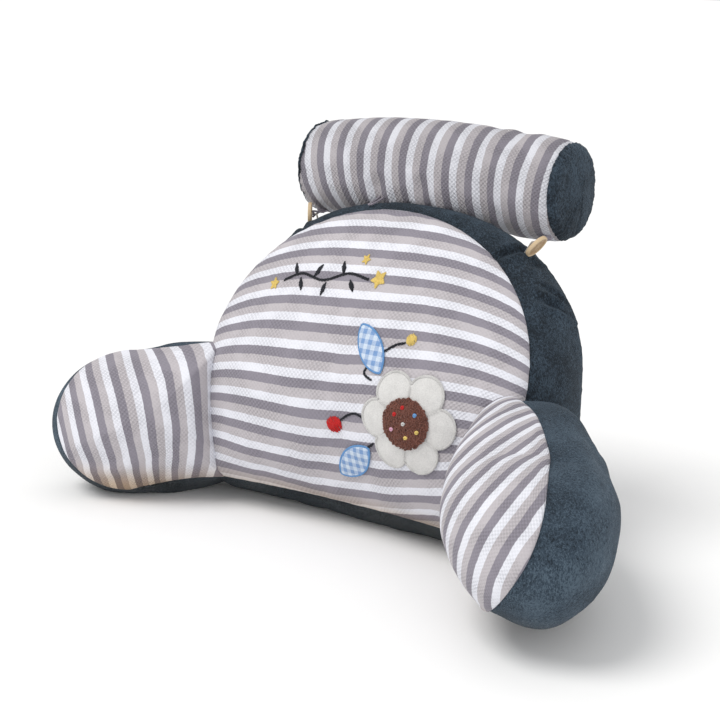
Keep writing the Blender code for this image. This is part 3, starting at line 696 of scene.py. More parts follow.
def piece(name, mesh, material, node=None):
    """A finished piece in the scene, riding on the pillow, in place of its solid."""
    item = bpy.data.objects.new(name, mesh)
    bpy.context.scene.collection.objects.link(item)
    mesh.materials.clear()
    mesh.materials.append(material)
    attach(item, "root")
    if node:
        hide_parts(node)
    return item


# ---- Material helpers -------------------------------------------------------------------
class Nodes:
    """Shorthand for one node tree: every call gives back an output socket."""

    def __init__(self, tree):
        self.tree = tree

    def feed(self, socket, value):
        if isinstance(value, bpy.types.NodeSocket):
            self.tree.links.new(value, socket)
        elif value is not None:
            socket.default_value = value

    def add(self, kind, inputs=(), output=0, **settings):
        node = self.tree.nodes.new(kind)
        for key, value in settings.items():
            setattr(node, key, value)
        for key, value in dict(inputs).items():
            self.feed(node.inputs[key], value)
        return node.outputs[output]

    def math(self, operation, *values):
        return self.add("ShaderNodeMath", dict(enumerate(values)), operation=operation)

    def vector(self, operation, *values, output=0, **named):
        inputs = {**dict(enumerate(values)), **named}
        return self.add("ShaderNodeVectorMath", inputs, output, operation=operation)

    def parts(self, vector):
        """A vector's x, y and z."""
        node = self.tree.nodes.new("ShaderNodeSeparateXYZ")
        self.feed(node.inputs[0], vector)
        return list(node.outputs)

    def on_object(self):
        return self.add("ShaderNodeTexCoord", output="Object")

    def on_cloth(self):
        return self.add("ShaderNodeUVMap", uv_map="cloth")

    def mix(self, factor, a, b, blend="MIX"):
        node = self.tree.nodes.new("ShaderNodeMix")
        node.data_type = "RGBA"
        node.blend_type = blend
        self.feed(node.inputs[0], factor)
        self.feed(node.inputs[6], (*a, 1.0) if isinstance(a, tuple) else a)
        self.feed(node.inputs[7], (*b, 1.0) if isinstance(b, tuple) else b)
        return node.outputs[2]

    def noise(self, vector, scale, detail=2.0, roughness=0.5, output="Fac"):
        inputs = {"Vector": vector, "Scale": scale, "Detail": detail, "Roughness": roughness}
        return self.add("ShaderNodeTexNoise", inputs, output)

    def spread(self, value, low, high, new_low=0.0, new_high=1.0):
        inputs = {0: value, 1: low, 2: high, 3: new_low, 4: new_high}
        return self.add("ShaderNodeMapRange", inputs, interpolation_type="SMOOTHSTEP")

    def scaled(self, vector, scale, rotation=(0.0, 0.0, 0.0)):
        inputs = {"Vector": vector, "Rotation": rotation, "Scale": scale}
        return self.add("ShaderNodeMapping", inputs)


def new_group(name, inputs, outputs):
    """An empty shader group; inputs give each its default and outputs each its socket type."""
    group = bpy.data.node_groups.new(name, "ShaderNodeTree")
    for key, value in inputs.items():
        kind = "NodeSocketFloat" if isinstance(value, float) else "NodeSocketVector"
        socket = group.interface.new_socket(key, in_out="INPUT", socket_type=kind)
        socket.default_value = value
    for key, kind in outputs.items():
        group.interface.new_socket(key, in_out="OUTPUT", socket_type=kind)
    given = group.nodes.new("NodeGroupInput").outputs
    return Nodes(group), given, group.nodes.new("NodeGroupOutput").inputs


def use_group(nodes, group, inputs, outputs):
    node = nodes.tree.nodes.new("ShaderNodeGroup")
    node.node_tree = group
    for key, value in inputs.items():
        nodes.feed(node.inputs[key], value)
    return [node.outputs[key] for key in outputs]


def new_material(name, roughness, sheen=0.0):
    material = bpy.data.materials.new(name)
    material.use_nodes = True
    nodes = Nodes(material.node_tree)
    shader = material.node_tree.nodes["Principled BSDF"]
    shader.inputs["Roughness"].default_value = roughness
    shader.inputs["Specular IOR Level"].default_value = 0.25
    shader.inputs["Sheen Weight"].default_value = sheen
    shader.inputs["Sheen Roughness"].default_value = 0.45
    return material, nodes, shader


def bump(nodes, shader, height, distance, strength=1.0):
    inputs = {"Height": height, "Distance": distance, "Strength": strength}
    nodes.feed(shader.inputs["Normal"], nodes.add("ShaderNodeBump", inputs))


# ---- Shared effects ---------------------------------------------------------------------
def waffle_group():
    """Puffed cells in diagonal rows, with the yarn's own grain; Place is in metres."""
    outputs = {"Height": "NodeSocketFloat", "Cell": "NodeSocketFloat"}
    nodes, given, out = new_group(
        "waffle_cells", {"Place": (0.0, 0.0, 0.0), "Pitch": WAFFLE_PITCH}, outputs
    )
    wobble = nodes.noise(given["Place"], 60.0, 1.0, output="Color")
    wobble = nodes.vector("SUBTRACT", wobble, (0.5, 0.5, 0.5))
    wobble = nodes.vector("SCALE", wobble, Scale=0.0022)
    across, along, _ = nodes.parts(nodes.vector("ADD", given["Place"], wobble))
    turn = nodes.math("DIVIDE", 2 * math.pi, given["Pitch"])
    cells = nodes.math(
        "MULTIPLY",
        nodes.math("COSINE", nodes.math("MULTIPLY", across, turn)),
        nodes.math("COSINE", nodes.math("MULTIPLY", along, turn)),
    )
    depth = nodes.spread(nodes.noise(given["Place"], 22.0, 2.0), 0.36, 0.62, 0.30, 1.0)
    hollow = nodes.math("SUBTRACT", nodes.spread(cells, -0.75, 0.65), 1.0)
    cell = nodes.math("MULTIPLY_ADD", hollow, depth, 1.0)
    yarn = nodes.noise(nodes.scaled(given["Place"], (900.0, 2200.0, 1.0)), 1.0, 2.0)
    nodes.feed(out["Cell"], cell)
    nodes.feed(out["Height"], nodes.math("MULTIPLY_ADD", yarn, 0.22, cell))
    return nodes.tree


def stripe_group():
    """Grey, beige and white stripes; Run is the length across them in metres."""
    nodes, given, out = new_group(
        "stripe_run", {"Run": 0.0, "Stray": 0.0}, {"Color": "NodeSocketColor"}
    )
    turn = nodes.math("DIVIDE", given["Run"], REPEAT)
    turn = nodes.math("ADD", turn, given["Stray"])
    part = nodes.math("FRACT", turn)
    soft = 0.012
    beige = nodes.spread(part, 1 / 3 - soft, 1 / 3 + soft)
    white = nodes.spread(part, 2 / 3 - soft, 2 / 3 + soft)
    again = nodes.spread(part, 1 - 2 * soft, 1.0)
    colour = nodes.mix(beige, STRIPE_GREY, STRIPE_BEIGE)
    colour = nodes.mix(white, colour, STRIPE_WHITE)
    nodes.feed(out["Color"], nodes.mix(again, colour, STRIPE_GREY))
    return nodes.tree


def painted_low_shade_group():
    """How far a colour is warmed and darkened near the floor, in patches: painted warm floor bounce
    and painted shade.
    """
    inputs = {"Place": (0.0, 0.0, 0.0), "Top": 0.10, "Amount": 0.5}
    nodes, given, out = new_group("painted_low_shade", inputs, {"Fac": "NodeSocketFloat"})
    # Painted warm floor bounce and painted shade, strongest at the floor.
    height = nodes.parts(given["Place"])[2]
    low = nodes.math("SUBTRACT", 1.0, nodes.spread(height, 0.015, given["Top"]))
    patchy = nodes.math("MULTIPLY_ADD", nodes.noise(given["Place"], 14.0, 3.0), 0.8, 0.6)
    low_shade = nodes.math("MULTIPLY", low, patchy)
    nodes.feed(out["Fac"], nodes.math("MULTIPLY", low_shade, given["Amount"]))
    return nodes.tree


def pile_group():
    """Short pile brushed this way and that: a tone from dark to light and a height."""
    outputs = {"Tone": "NodeSocketFloat", "Height": "NodeSocketFloat"}
    inputs = {"Place": (0.0, 0.0, 0.0), "Seed": 0.0}
    nodes, given, out = new_group("brushed_pile", inputs, outputs)
    shift = nodes.add("ShaderNodeCombineXYZ", {0: given["Seed"], 1: given["Seed"]})
    place = nodes.vector("ADD", given["Place"], shift)
    warp = nodes.noise(place, 40.0, 2.0, output="Color")
    bent = nodes.vector("ADD", place, nodes.vector("SCALE", warp, Scale=0.010))
    broad = nodes.noise(bent, 13.0, 4.0, 0.62)
    tuft = nodes.noise(nodes.scaled(bent, (470.0, 470.0, 240.0)), 1.0, 3.0, 0.75)
    fibre = nodes.noise(nodes.scaled(place, (1300.0, 1300.0, 520.0)), 1.0, 2.0, 0.6)
    tone = nodes.math("MULTIPLY_ADD", broad, 0.55, nodes.math("MULTIPLY", tuft, 0.70))
    tone = nodes.math("MULTIPLY_ADD", fibre, 0.55, tone)
    nodes.feed(out["Tone"], nodes.spread(tone, 0.70, 1.14))
    height = nodes.math("MULTIPLY_ADD", tuft, 0.9, nodes.math("MULTIPLY", fibre, 0.6))
    nodes.feed(out["Height"], height)
    return nodes.tree


def yarn_group():
    """Twisted yarn or loose fibre: a grain that is longer one way."""
    outputs = {"Grain": "NodeSocketFloat", "Height": "NodeSocketFloat"}
    inputs = {"Place": (0.0, 0.0, 0.0), "Scale": 900.0}
    nodes, given, out = new_group("yarn_grain", inputs, outputs)
    fine = nodes.noise(given["Place"], given["Scale"], 3.0, 0.6)
    broad = nodes.math("MULTIPLY", nodes.noise(given["Place"], 90.0, 2.0), 0.3)
    nodes.feed(out["Grain"], nodes.math("MULTIPLY_ADD", fine, 0.7, broad))
    nodes.feed(out["Height"], fine)
    return nodes.tree


# ---- Materials --------------------------------------------------------------------------
def painted_low_bounce_and_shade(nodes, groups, spot, colour, warm, top, amount):
    """The colour with painted warm floor bounce and painted shade, from the floor up to a height.
    """
    inputs = {"Place": spot, "Top": top, "Amount": amount}
    [low] = use_group(nodes, groups["low"], inputs, ("Fac",))
    return nodes.mix(low, colour, nodes.mix(1.0, colour, warm, "MULTIPLY"))


def striped_cloth(name, groups, shade, relief):
    """Waffle cloth whose stripes run along the flat cloth, with its dimples, painted shade in their
    hollows, and painted warm floor bounce and shade near the floor.

    shade dims the whole cloth as painted shade, and relief is how deep its cells are, in metres.
    """
    material, nodes, shader = new_material(name, 0.92, sheen=0.12)
    place, spot = nodes.on_cloth(), nodes.on_object()
    height, cell = use_group(nodes, groups["waffle"], {"Place": place}, ("Height", "Cell"))
    stray = nodes.noise(nodes.scaled(place, (160.0, 160.0, 1.0)), 1.0)
    stray = nodes.math("MULTIPLY_ADD", stray, 0.05, -0.025)
    run = {"Run": nodes.parts(place)[1], "Stray": stray}
    [colour] = use_group(nodes, groups["stripe"], run, ("Color",))
    # Darker in the cells' hollows and lighter on their puffs: painted shade in the dimples.
    tone = nodes.spread(cell, 0.0, 1.0, 0.86 * shade, 1.04 * shade)
    for scale, amount in ((700.0, 0.14), (18.0, 0.10)):
        lower = nodes.math("SUBTRACT", tone, amount / 2)
        tone = nodes.math("MULTIPLY_ADD", nodes.noise(spot, scale, 2.0), amount, lower)
    grey = nodes.add("ShaderNodeCombineColor", {0: tone, 1: tone, 2: tone})
    colour = nodes.mix(1.0, colour, grey, "MULTIPLY")
    # Painted warm floor bounce and painted shade on the cloth's lowest part.
    colour = painted_low_bounce_and_shade(nodes, groups, spot, colour, STRIPE_BOUNCE_SHADE, 0.060, 0.90)
    nodes.feed(shader.inputs["Base Color"], colour)
    nodes.feed(shader.inputs["Roughness"], nodes.spread(cell, 0.0, 1.0, 0.98, 0.86))
    bump(nodes, shader, height, relief, 0.75)
    return material


def plush_cloth(name, groups, seed, level):
    """Short-pile plush; level makes it a little lighter or darker, as painted light or painted
    shade on copies of the same plush.
    """
    material, nodes, shader = new_material(name, 0.95, sheen=0.22)
    shader.inputs["Sheen Tint"].default_value = (0.36, 0.46, 0.56, 1.0)
    spot = nodes.on_object()
    inputs = {"Place": spot, "Seed": seed}
    tone, height = use_group(nodes, groups["pile"], inputs, ("Tone", "Height"))
    # level shifts the whole tone: painted light or painted shade.
    dark = nodes.spread(tone, -level, 0.5 - level)
    light = nodes.spread(tone, 0.5 - level, 1.0 - level)
    colour = nodes.mix(light, nodes.mix(dark, PLUSH_DARK, PLUSH_MIDDLE), PLUSH_LIGHT)
    # Painted warm floor bounce and painted shade on the plush's lowest part.
    colour = painted_low_bounce_and_shade(nodes, groups, spot, colour, PLUSH_BOUNCE_SHADE, 0.065, 0.8)
    nodes.feed(shader.inputs["Base Color"], colour)
    nodes.feed(shader.inputs["Roughness"], nodes.spread(tone, 0.0, 1.0, 1.0, 0.80))
    bump(nodes, shader, height, 0.0018, 0.8)
    return material


def plain_yarn(groups, name, colour, shade, scale, roughness, sheen, lift):
    """One colour of yarn, felt or thread, darker between its fibres."""
    material, nodes, shader = new_material(name, roughness, sheen)
    inputs = {"Place": nodes.on_object(), "Scale": scale}
    grain, height = use_group(nodes, groups["yarn"], inputs, ("Grain", "Height"))
    dark = tuple(channel * shade for channel in colour)
    mixed = nodes.mix(nodes.spread(grain, 0.30, 0.66), dark, colour)
    nodes.feed(shader.inputs["Base Color"], mixed)
    nodes.feed(shader.inputs["Roughness"], nodes.spread(grain, 0.2, 0.8, 1.0, roughness - 0.08))
    bump(nodes, shader, height, lift, 0.8)
    return material


def gingham_cloth(groups):
    """Blue checks on white, on the leaf's own cloth."""
    material, nodes, shader = new_material("blue_gingham_cotton", 0.88, sheen=0.1)
    place = nodes.on_cloth()
    bands = []
    for run in nodes.parts(place)[:2]:
        wave = nodes.math("FRACT", nodes.math("DIVIDE", run, GINGHAM_CHECK))
        before_end = nodes.math("SUBTRACT", 1.0, nodes.spread(wave, 0.50, 0.55))
        bands.append(nodes.math("MULTIPLY", nodes.spread(wave, 0.0, 0.05), before_end))
    total = nodes.math("MULTIPLY", nodes.math("ADD", *bands), 0.5)
    colour = nodes.mix(total, GINGHAM_WHITE, GINGHAM_BLUE)
    inputs = {"Vector": place, "Scale": 420.0, "Distortion": 1.5}
    twill = nodes.add("ShaderNodeTexWave", inputs, "Fac", bands_direction="DIAGONAL")
    colour = nodes.mix(nodes.math("MULTIPLY", twill, 0.30), colour, GINGHAM_THREAD)
    inputs = {"Place": nodes.on_object()}
    grain, height = use_group(nodes, groups["yarn"], inputs, ("Grain", "Height"))
    colour = nodes.mix(nodes.spread(grain, 0.25, 0.6, 0.30, 0.0), colour, GINGHAM_SHADOW)
    nodes.feed(shader.inputs["Base Color"], colour)
    nodes.feed(shader.inputs["Roughness"], nodes.spread(grain, 0.2, 0.8, 0.98, 0.82))
    bump(nodes, shader, nodes.math("MULTIPLY_ADD", twill, 0.5, height), 0.0004, 0.7)
    return material


def turned_wood(name, facing, middle):
    """Wood with rings turned into it; its grain runs along the button's face."""
    material, nodes, shader = new_material(name, 0.5)
    own = nodes.vector("SUBTRACT", nodes.on_object(), tuple(middle))
    height = nodes.vector("DOT_PRODUCT", own, tuple(facing), output="Value")
    size = nodes.vector("LENGTH", own, output="Value")
    squares = [nodes.math("POWER", value, 2.0) for value in (size, height)]
    radius = nodes.math("SQRT", nodes.math("SUBTRACT", *squares))
    grain = nodes.noise(nodes.scaled(own, (260.0, 1500.0, 700.0), (0.3, 0.5, 0.2)), 1.0, 4.0, 0.6)
    colour = nodes.mix(nodes.spread(grain, 0.3, 0.7), WOOD_DARK, WOOD_LIGHT)
    rim = nodes.spread(radius, 0.0121, 0.0130)
    heart = nodes.math("SUBTRACT", 1.0, nodes.spread(radius, 0.002, 0.0060))
    colour = nodes.mix(nodes.math("MULTIPLY", rim, 0.75), colour, WOOD_RIM)
    colour = nodes.mix(nodes.math("MULTIPLY", heart, 0.45), colour, WOOD_HEART)
    ring = nodes.math("SINE", nodes.math("MULTIPLY", radius, 5200.0))
    nodes.feed(shader.inputs["Base Color"], colour)
    nodes.feed(shader.inputs["Roughness"], nodes.spread(grain, 0.2, 0.8, 0.62, 0.42))
    bump(nodes, shader, nodes.math("MULTIPLY_ADD", ring, 0.35, grain), 0.00025, 0.8)
    return material


# ---- Stitches and curls: Geometry Nodes ---------------------------------------------------
def geometry_tree(name, inputs):
    tree = bpy.data.node_groups.new(name, "GeometryNodeTree")
    tree.interface.new_socket("Geometry", in_out="INPUT", socket_type="NodeSocketGeometry")
    for key, value in inputs.items():
        kind = "NodeSocketInt" if isinstance(value, int) else "NodeSocketFloat"
        if value is None:
            kind = "NodeSocketMaterial"
        socket = tree.interface.new_socket(key, in_out="INPUT", socket_type=kind)
        if value is not None:
            socket.default_value = value
    tree.interface.new_socket("Geometry", in_out="OUTPUT", socket_type="NodeSocketGeometry")
    given = tree.nodes.new("NodeGroupInput").outputs
    return Nodes(tree), given, tree.nodes.new("NodeGroupOutput").inputs


def finish_tree(nodes, given, out, shape):
    shape = nodes.add("GeometryNodeRealizeInstances", {0: shape})
    shape = nodes.add("GeometryNodeSetShadeSmooth", {0: shape})
    shape = nodes.add("GeometryNodeSetMaterial", {"Geometry": shape, "Material": given["Material"]})
    nodes.feed(out["Geometry"], shape)
    return nodes.tree


def round_yarn(nodes, line, radius, sides):
    """A round yarn along a curve, closed at its ends."""
    ring = {"Resolution": sides, "Radius": radius}
    ring = nodes.add("GeometryNodeCurvePrimitiveCircle", ring)
    inputs = {"Curve": line, "Profile Curve": ring, "Fill Caps": True}
    return nodes.add("GeometryNodeCurveToMesh", inputs)


def thread_tree():
    """Lays a round thread along every line."""
    sizes = {"Radius": 0.0004, "Sides": 5, "Material": None}
    nodes, given, out = geometry_tree("laid_thread", sizes)
    line = nodes.add("GeometryNodeMeshToCurve", {0: given["Geometry"]})
    return finish_tree(nodes, given, out, round_yarn(nodes, line, given["Radius"], given["Sides"]))


def curl_tree():
    """Covers a surface with small curls of yarn, turned at random."""
    sizes = {"Density": 500000.0, "Size": 0.0022, "Radius": 0.0005, "Seed": 3, "Material": None}
    nodes, given, out = geometry_tree("curly_yarn", sizes)
    spots = nodes.tree.nodes.new("GeometryNodeDistributePointsOnFaces")
    nodes.feed(spots.inputs["Mesh"], given["Geometry"])
    nodes.feed(spots.inputs["Density"], given["Density"])
    nodes.feed(spots.inputs["Seed"], given["Seed"])
    bow = {"Resolution": 9, "Radius": given["Size"], "Sweep Angle": 5.2}
    curl = round_yarn(nodes, nodes.add("GeometryNodeCurveArc", bow), given["Radius"], 5)
    turn = {0: (0.0, 0.0, 0.0), 1: (6.28, 6.28, 6.28), "Seed": given["Seed"]}
    turn = nodes.add("FunctionNodeRandomValue", turn, data_type="FLOAT_VECTOR")
    size = {2: 0.7, 3: 1.25, "Seed": given["Seed"]}
    size = nodes.add("FunctionNodeRandomValue", size, output=1, data_type="FLOAT")
    shape = nodes.add("GeometryNodeInstanceOnPoints", {
        "Points": spots.outputs["Points"], "Instance": curl, "Rotation": turn, "Scale": size,
    })
    return finish_tree(nodes, given, out, shape)


def grown(name, mesh, tree, values):
    """The mesh that a tree makes of another one, with the tree's named inputs set."""
    source = bpy.data.objects.new(name + "_source", mesh)
    bpy.context.scene.collection.objects.link(source)
    modifier = source.modifiers.new("grow", "NODES")
    modifier.node_group = tree
    names = {s.name: s.identifier for s in tree.interface.items_tree if s.in_out == "INPUT"}
    for key, value in values.items():
        modifier[names[key]] = value
    bpy.context.view_layer.update()
    graph = bpy.context.evaluated_depsgraph_get()
    made = bpy.data.meshes.new_from_object(source.evaluated_get(graph))
    made.name = name
    bpy.data.objects.remove(source, do_unlink=True)
    return made


def lines_mesh(name, lines):
    """A mesh of open lines of points."""
    points, edges = [], []
    for line in lines:
        start = len(points)
        points.extend([tuple(point) for point in line])
        edges.extend([(start + i, start + i + 1) for i in range(len(line) - 1)])
    mesh = bpy.data.meshes.new(name)
    mesh.from_pydata(points, edges, [])
    return mesh


# ---- Main pieces ------------------------------------------------------------------------
BACKREST_CREASES = (
    # x0, y0, z0, x1, y1, z1, depth, width: folds of the side band and at the shoulders
    (0.203, 0.016, 0.297, 0.220, 0.048, 0.277, 0.0076, 0.0042),
    (0.192, 0.022, 0.313, 0.218, 0.052, 0.282, 0.0056, 0.0044),
    (0.190, 0.004, 0.304, 0.206, 0.022, 0.294, 0.0036, 0.0048),
    (0.221, 0.042, 0.270, 0.225, 0.052, 0.263, 0.0036, 0.0030),
    (0.226, 0.036, 0.254, 0.229, 0.052, 0.247, 0.0026, 0.0032),
    (0.228, 0.038, 0.240, 0.232, 0.054, 0.234, 0.0026, 0.0032),
    (0.138, 0.010, 0.345, 0.158, 0.052, 0.349, 0.0070, 0.0044),
    (0.166, 0.020, 0.337, 0.176, 0.048, 0.334, 0.0026, 0.0050),
    (-0.200, 0.016, 0.300, -0.210, 0.052, 0.290, 0.0046, 0.0046),
    (-0.214, 0.012, 0.270, -0.224, 0.050, 0.262, 0.0036, 0.0048),
    (-0.148, 0.014, 0.343, -0.158, 0.056, 0.348, 0.0050, 0.0048),
    (-0.060, 0.066, 0.352, -0.052, 0.080, 0.220, 0.0030, 0.0100),
    (0.090, 0.066, 0.340, 0.070, 0.080, 0.230, 0.0026, 0.0100),
)


def add_cushion(cover, part, front, cloth, plush, materials):
    """A stuffed cover and its striped front as pieces, in place of the part's two solids."""
    cover.rest_on_floor()
    body = piece(f"{part}_plush", cover.mesh, plush, f"{part}_cushion")
    flat = np.vstack([cloth.reshape(-1, 2), [0.0, 0.0]])
    mesh = cover.front_cloth(f"{front}_cloth", draped(flat, part))
    striped = materials[f"striped_{part}"]
    item = piece(mesh.name, mesh, striped, f"{front}_panel")
    return item


def build_backrest(materials):
    centre = (0.0, front_depth(FRONT_CENTRE_Z) + 0.25 * FLOOR_BOW, FRONT_CENTRE_Z)
    normal = np.array((0.0, -math.cos(FRONT_CROWN_TILT), math.sin(FRONT_CROWN_TILT)))
    seam = front_seam()
    front, pole = face_rows(seam, centre, normal, FRONT_CROWN, CUSHION_FULLNESS, FACE_ROWS)
    bulge = np.full((len(seam), 1), GUSSET_BULGE)
    inwards = 1 - (seam[-BACKREST_STEPS["floor"]:, :1] / FOLD_FOOT[0]) ** 2
    bulge[-BACKREST_STEPS["floor"]:] = FLOOR_BULGE + FLOOR_SAG * inwards ** 2
    band = band_rows(seam, back_seam(), bulge, BAND_ROWS)
    middle = (BACK_SHIFT, BACK_Y, BACK_SHOULDER[1])
    back, back_pole = face_rows(
        back_seam(), middle, (0.0, 1.0, 0.0), BACK_CROWN, CUSHION_FULLNESS, FACE_ROWS // 2
    )
    up = np.cross((1.0, 0.0, 0.0), normal)
    up = up if up[2] > 0 else -up
    cloth = cloth_places(front, pole, np.array((1.0, 0.0, 0.0)), up)
    cover = Stuffed("backrest_plush", front, pole, band, back, back_pole, seam)
    cover.swell()
    cover.soften_and_pucker(*PUCKERS["backrest"], BACKREST_CREASES)
    plush = materials["plush_back"]
    return add_cushion(cover, "backrest", "backrest_front", cloth, plush, materials)


def build_arm(name, size, materials):
    arm, part = Arm(size), f"arm_{name}"
    centre = arm.inner.mean(axis=0) + arm.along * size["middle_out"]
    centre[2] += size["middle_up"]
    low = np.clip((ARM_LOW_TOP - arm.inner[:, 2:]) / ARM_LOW_BLEND, 0, 1)
    fullness = size["fullness"] + ARM_LOW[name] * low
    front, pole = face_rows(arm.inner, centre, arm.facing, size["crown"], fullness, FACE_ROWS)
    out = np.clip((arm.inner - arm.start) @ arm.along / ARM_TAPER, 0, 1)[:, None]
    band = band_rows(arm.inner, arm.outer, arm.side * size["bulge"] * np.sqrt(out), BAND_ROWS)
    middle = arm.outer.mean(axis=0)
    crown = size["outer_crown"]
    back, back_pole = face_rows(
        arm.outer, middle, arm.outer_facing, crown, CUSHION_FULLNESS, FACE_ROWS // 2
    )
    band, back = eased(band, back, ARM_EASE[name])
    cloth = cloth_places(front, pole, arm.face_up, arm.along)
    cover = Stuffed(f"{part}_plush", front, pole, band, back, back_pole, arm.inner)
    cover.swell((arm.start, arm.along))
    cover.soften_and_pucker(*PUCKERS[part])
    add_cushion(cover, part, part, cloth, materials["plush_arms"], materials)


ROLL_CREASES = (
    # x0, y0, z0, x1, y1, z1, depth, width: where the middle loop draws the roll in
    (-0.056, 0.050, 0.408, -0.046, 0.088, 0.357, 0.0090, 0.0075),
    (-0.066, 0.052, 0.400, -0.050, 0.080, 0.362, 0.0035, 0.0060),
    (0.006, 0.050, 0.410, 0.022, 0.082, 0.360, 0.0080, 0.0080),
    (0.022, 0.082, 0.360, -0.044, 0.096, 0.353, 0.0050, 0.0080),
    (-0.050, 0.070, 0.366, -0.010, 0.062, 0.376, 0.0035, 0.0065),
)


def roll_points(x, radius):
    """One row round the roll at each x, with a radius for each."""
    angle = 2 * np.pi * np.arange(ROLL_SIDES) / ROLL_SIDES - np.pi / 3
    outwards = np.minimum(2 * np.abs(x) / ROLL_LENGTH, 1.0) ** 2
    radius = radius + ROLL_BARREL * (1 - outwards)
    ring = np.stack([
        np.repeat(x[:, None], ROLL_SIDES, axis=1),
        radius[:, None] * np.cos(angle), radius[:, None] * np.sin(angle),
    ], axis=2)
    ring[:, :, 2] -= (ROLL_DROOP * outwards)[:, None]
    return ring + ROLL_CENTRE


def roll_end(side):
    """Rows of a domed end from its middle out to its seam, and the point at its middle."""
    share = np.sin(np.pi / 2 * np.arange(1, ROLL_END_ROWS + 1) / ROLL_END_ROWS)
    dome = ROLL_DOME[side] * (1 - share ** 2) ** 0.6
    rows = roll_points(side * (ROLL_LENGTH / 2 + dome), ROLL_RADIUS * share)
    pole = roll_points(np.array([side * (ROLL_LENGTH / 2 + ROLL_DOME[side])]), np.zeros(1))
    return rows, pole[0, 0]


def build_roll(materials):
    left, left_pole = roll_end(-1)
    right, right_pole = roll_end(+1)
    x = np.linspace(-0.5, 0.5, ROLL_ROWS)[1:-1] * ROLL_LENGTH
    side = roll_points(x, np.full(len(x), ROLL_RADIUS))
    rows = np.concatenate([left, side, right[::-1]])
    points = np.vstack([rows.reshape(-1, 3), [left_pole, right_pole]])
    faces = row_faces(len(rows), ROLL_SIDES, 2)
    mesh = mesh_of("head_roll_cloth", points, faces)
    along = points[:, 0]
    away = np.abs(ROLL_LENGTH / 2 - np.abs(along))
    angle = np.arctan2(points[:, 2] - ROLL_CENTRE[2], points[:, 1] - ROLL_CENTRE[1])
    ring = np.stack([3.2 * np.cos(angle), 3.2 * np.sin(angle), np.sign(along) * 4], axis=1)
    gather = smooth_noise(ring, 0.25, 2) + 0.6 * smooth_noise(ring, 0.12, 4)
    distances = -0.0024 * np.exp(-((away / 0.0045) ** 2))
    distances += 0.0016 * gather * np.exp(-away / 0.018)
    distances += 0.0018 * smooth_noise(points, 0.055, 8) * (1 - np.exp(-away / 0.02))
    distances += 0.0006 * smooth_noise(points, 0.020, 9)
    distances -= crease_depth(points, ROLL_CREASES)
    set_points(mesh, swollen(mesh, np.exp(-((away / SEAM_HOLD) ** 2))))
    set_points(mesh, points_of(mesh) + normals_of(mesh) * distances[:, None])
    add_roll_places(mesh)
    striped = materials["striped_roll"]
    roll = piece("head_roll_cloth", mesh, striped, "head_roll")
    last = len(rows) - 1
    from_middle = {"left": range(ROLL_END_ROWS), "right": range(last, last - ROLL_END_ROWS, -1)}
    for end, (name, order) in enumerate(from_middle.items()):
        pick = [np.arange(row * ROLL_SIDES, (row + 1) * ROLL_SIDES) for row in order]
        pick = np.concatenate([*pick, [len(rows) * ROLL_SIDES + end]])
        add_roll_end(f"roll_end_{name}", points_of(mesh)[pick], normals_of(mesh)[pick], materials)


def add_roll_end(node, points, normals, materials):
    cloth = points[:, 1:] - ROLL_CENTRE[1:]
    inside = np.maximum(ROLL_RADIUS - np.linalg.norm(cloth, axis=1), 0)
    rise = GAP + CLOTH * (1 - np.exp(-inside / 0.002)) ** 0.6
    disc = sheet_mesh(f"{node}_plush", points, normals, rise, ROLL_END_ROWS, ROLL_SIDES, cloth)
    item = piece(disc.name, disc, materials["plush_back"], node)


def add_roll_places(mesh):
    """The roll's places on its cloth: round it, and along it; its own seam lies underneath."""
    corners = numbers_of(mesh.loops, "vertex_index")
    points = points_of(mesh)
    column = (corners % ROLL_SIDES).astype(float)
    starts = numbers_of(mesh.polygons, "loop_start")
    for start, size in zip(starts, numbers_of(mesh.polygons, "loop_total")):
        part = column[start:start + size]
        if np.ptp(part) > 0.5 * ROLL_SIDES:
            part[part < 0.5 * ROLL_SIDES] += ROLL_SIDES
    radius = ROLL_RADIUS + ROLL_BARREL
    cells = round(2 * math.pi * radius / WAFFLE_PITCH)
    sideways = radius * np.sin(2 * np.pi * (column / ROLL_SIDES) - ROLL_FRONT)
    places = draped(np.stack([sideways, points[corners][:, 0]], axis=1), "roll")
    places[:, 0] = column / ROLL_SIDES * cells * WAFFLE_PITCH
    set_cloth(mesh, places)


# ---- Fasteners ------------------------------------------------------------------------
def band_place(arch_deg, share):
    """A point of the side band and the way it faces there."""
    def seams(angle):
        cos, sin = math.cos(angle), math.sin(angle)
        z = FOLD_TOP[1] + FRONT_RISE * sin
        x = math.copysign(FOLD_TOP[0] * abs(cos), cos)
        front = Vector((x, front_depth(z), z))
        z = BACK_SHOULDER[1] + BACK_RISE * sin ** (2 / BACK_SQUARENESS)
        x = math.copysign(BACK_SHOULDER[0] * abs(cos) ** (2 / BACK_SQUARENESS), cos)
        return front, Vector((x + BACK_SHIFT, BACK_Y, z))

    angle, step = math.radians(arch_deg), 0.01
    front, back = seams(angle)
    ahead, behind = sum(seams(angle + step), Vector()), sum(seams(angle - step), Vector())
    out = (back - front).cross(ahead - behind).normalized()
    swell = (back - front).length * GUSSET_BULGE * math.sin(math.pi * share)
    return front.lerp(back, share) + out * swell, out


def roll_place(x, angle_deg):
    """A point of the roll's side and the way it faces there."""
    angle = math.radians(angle_deg)
    out = Vector((0, math.cos(angle), math.sin(angle)))
    outwards = (2 * x / ROLL_LENGTH) ** 2
    axis = Vector(ROLL_CENTRE) + Vector((x, 0, -ROLL_DROOP * outwards))
    return axis + out * (ROLL_RADIUS + ROLL_BARREL * (1 - outwards)), out


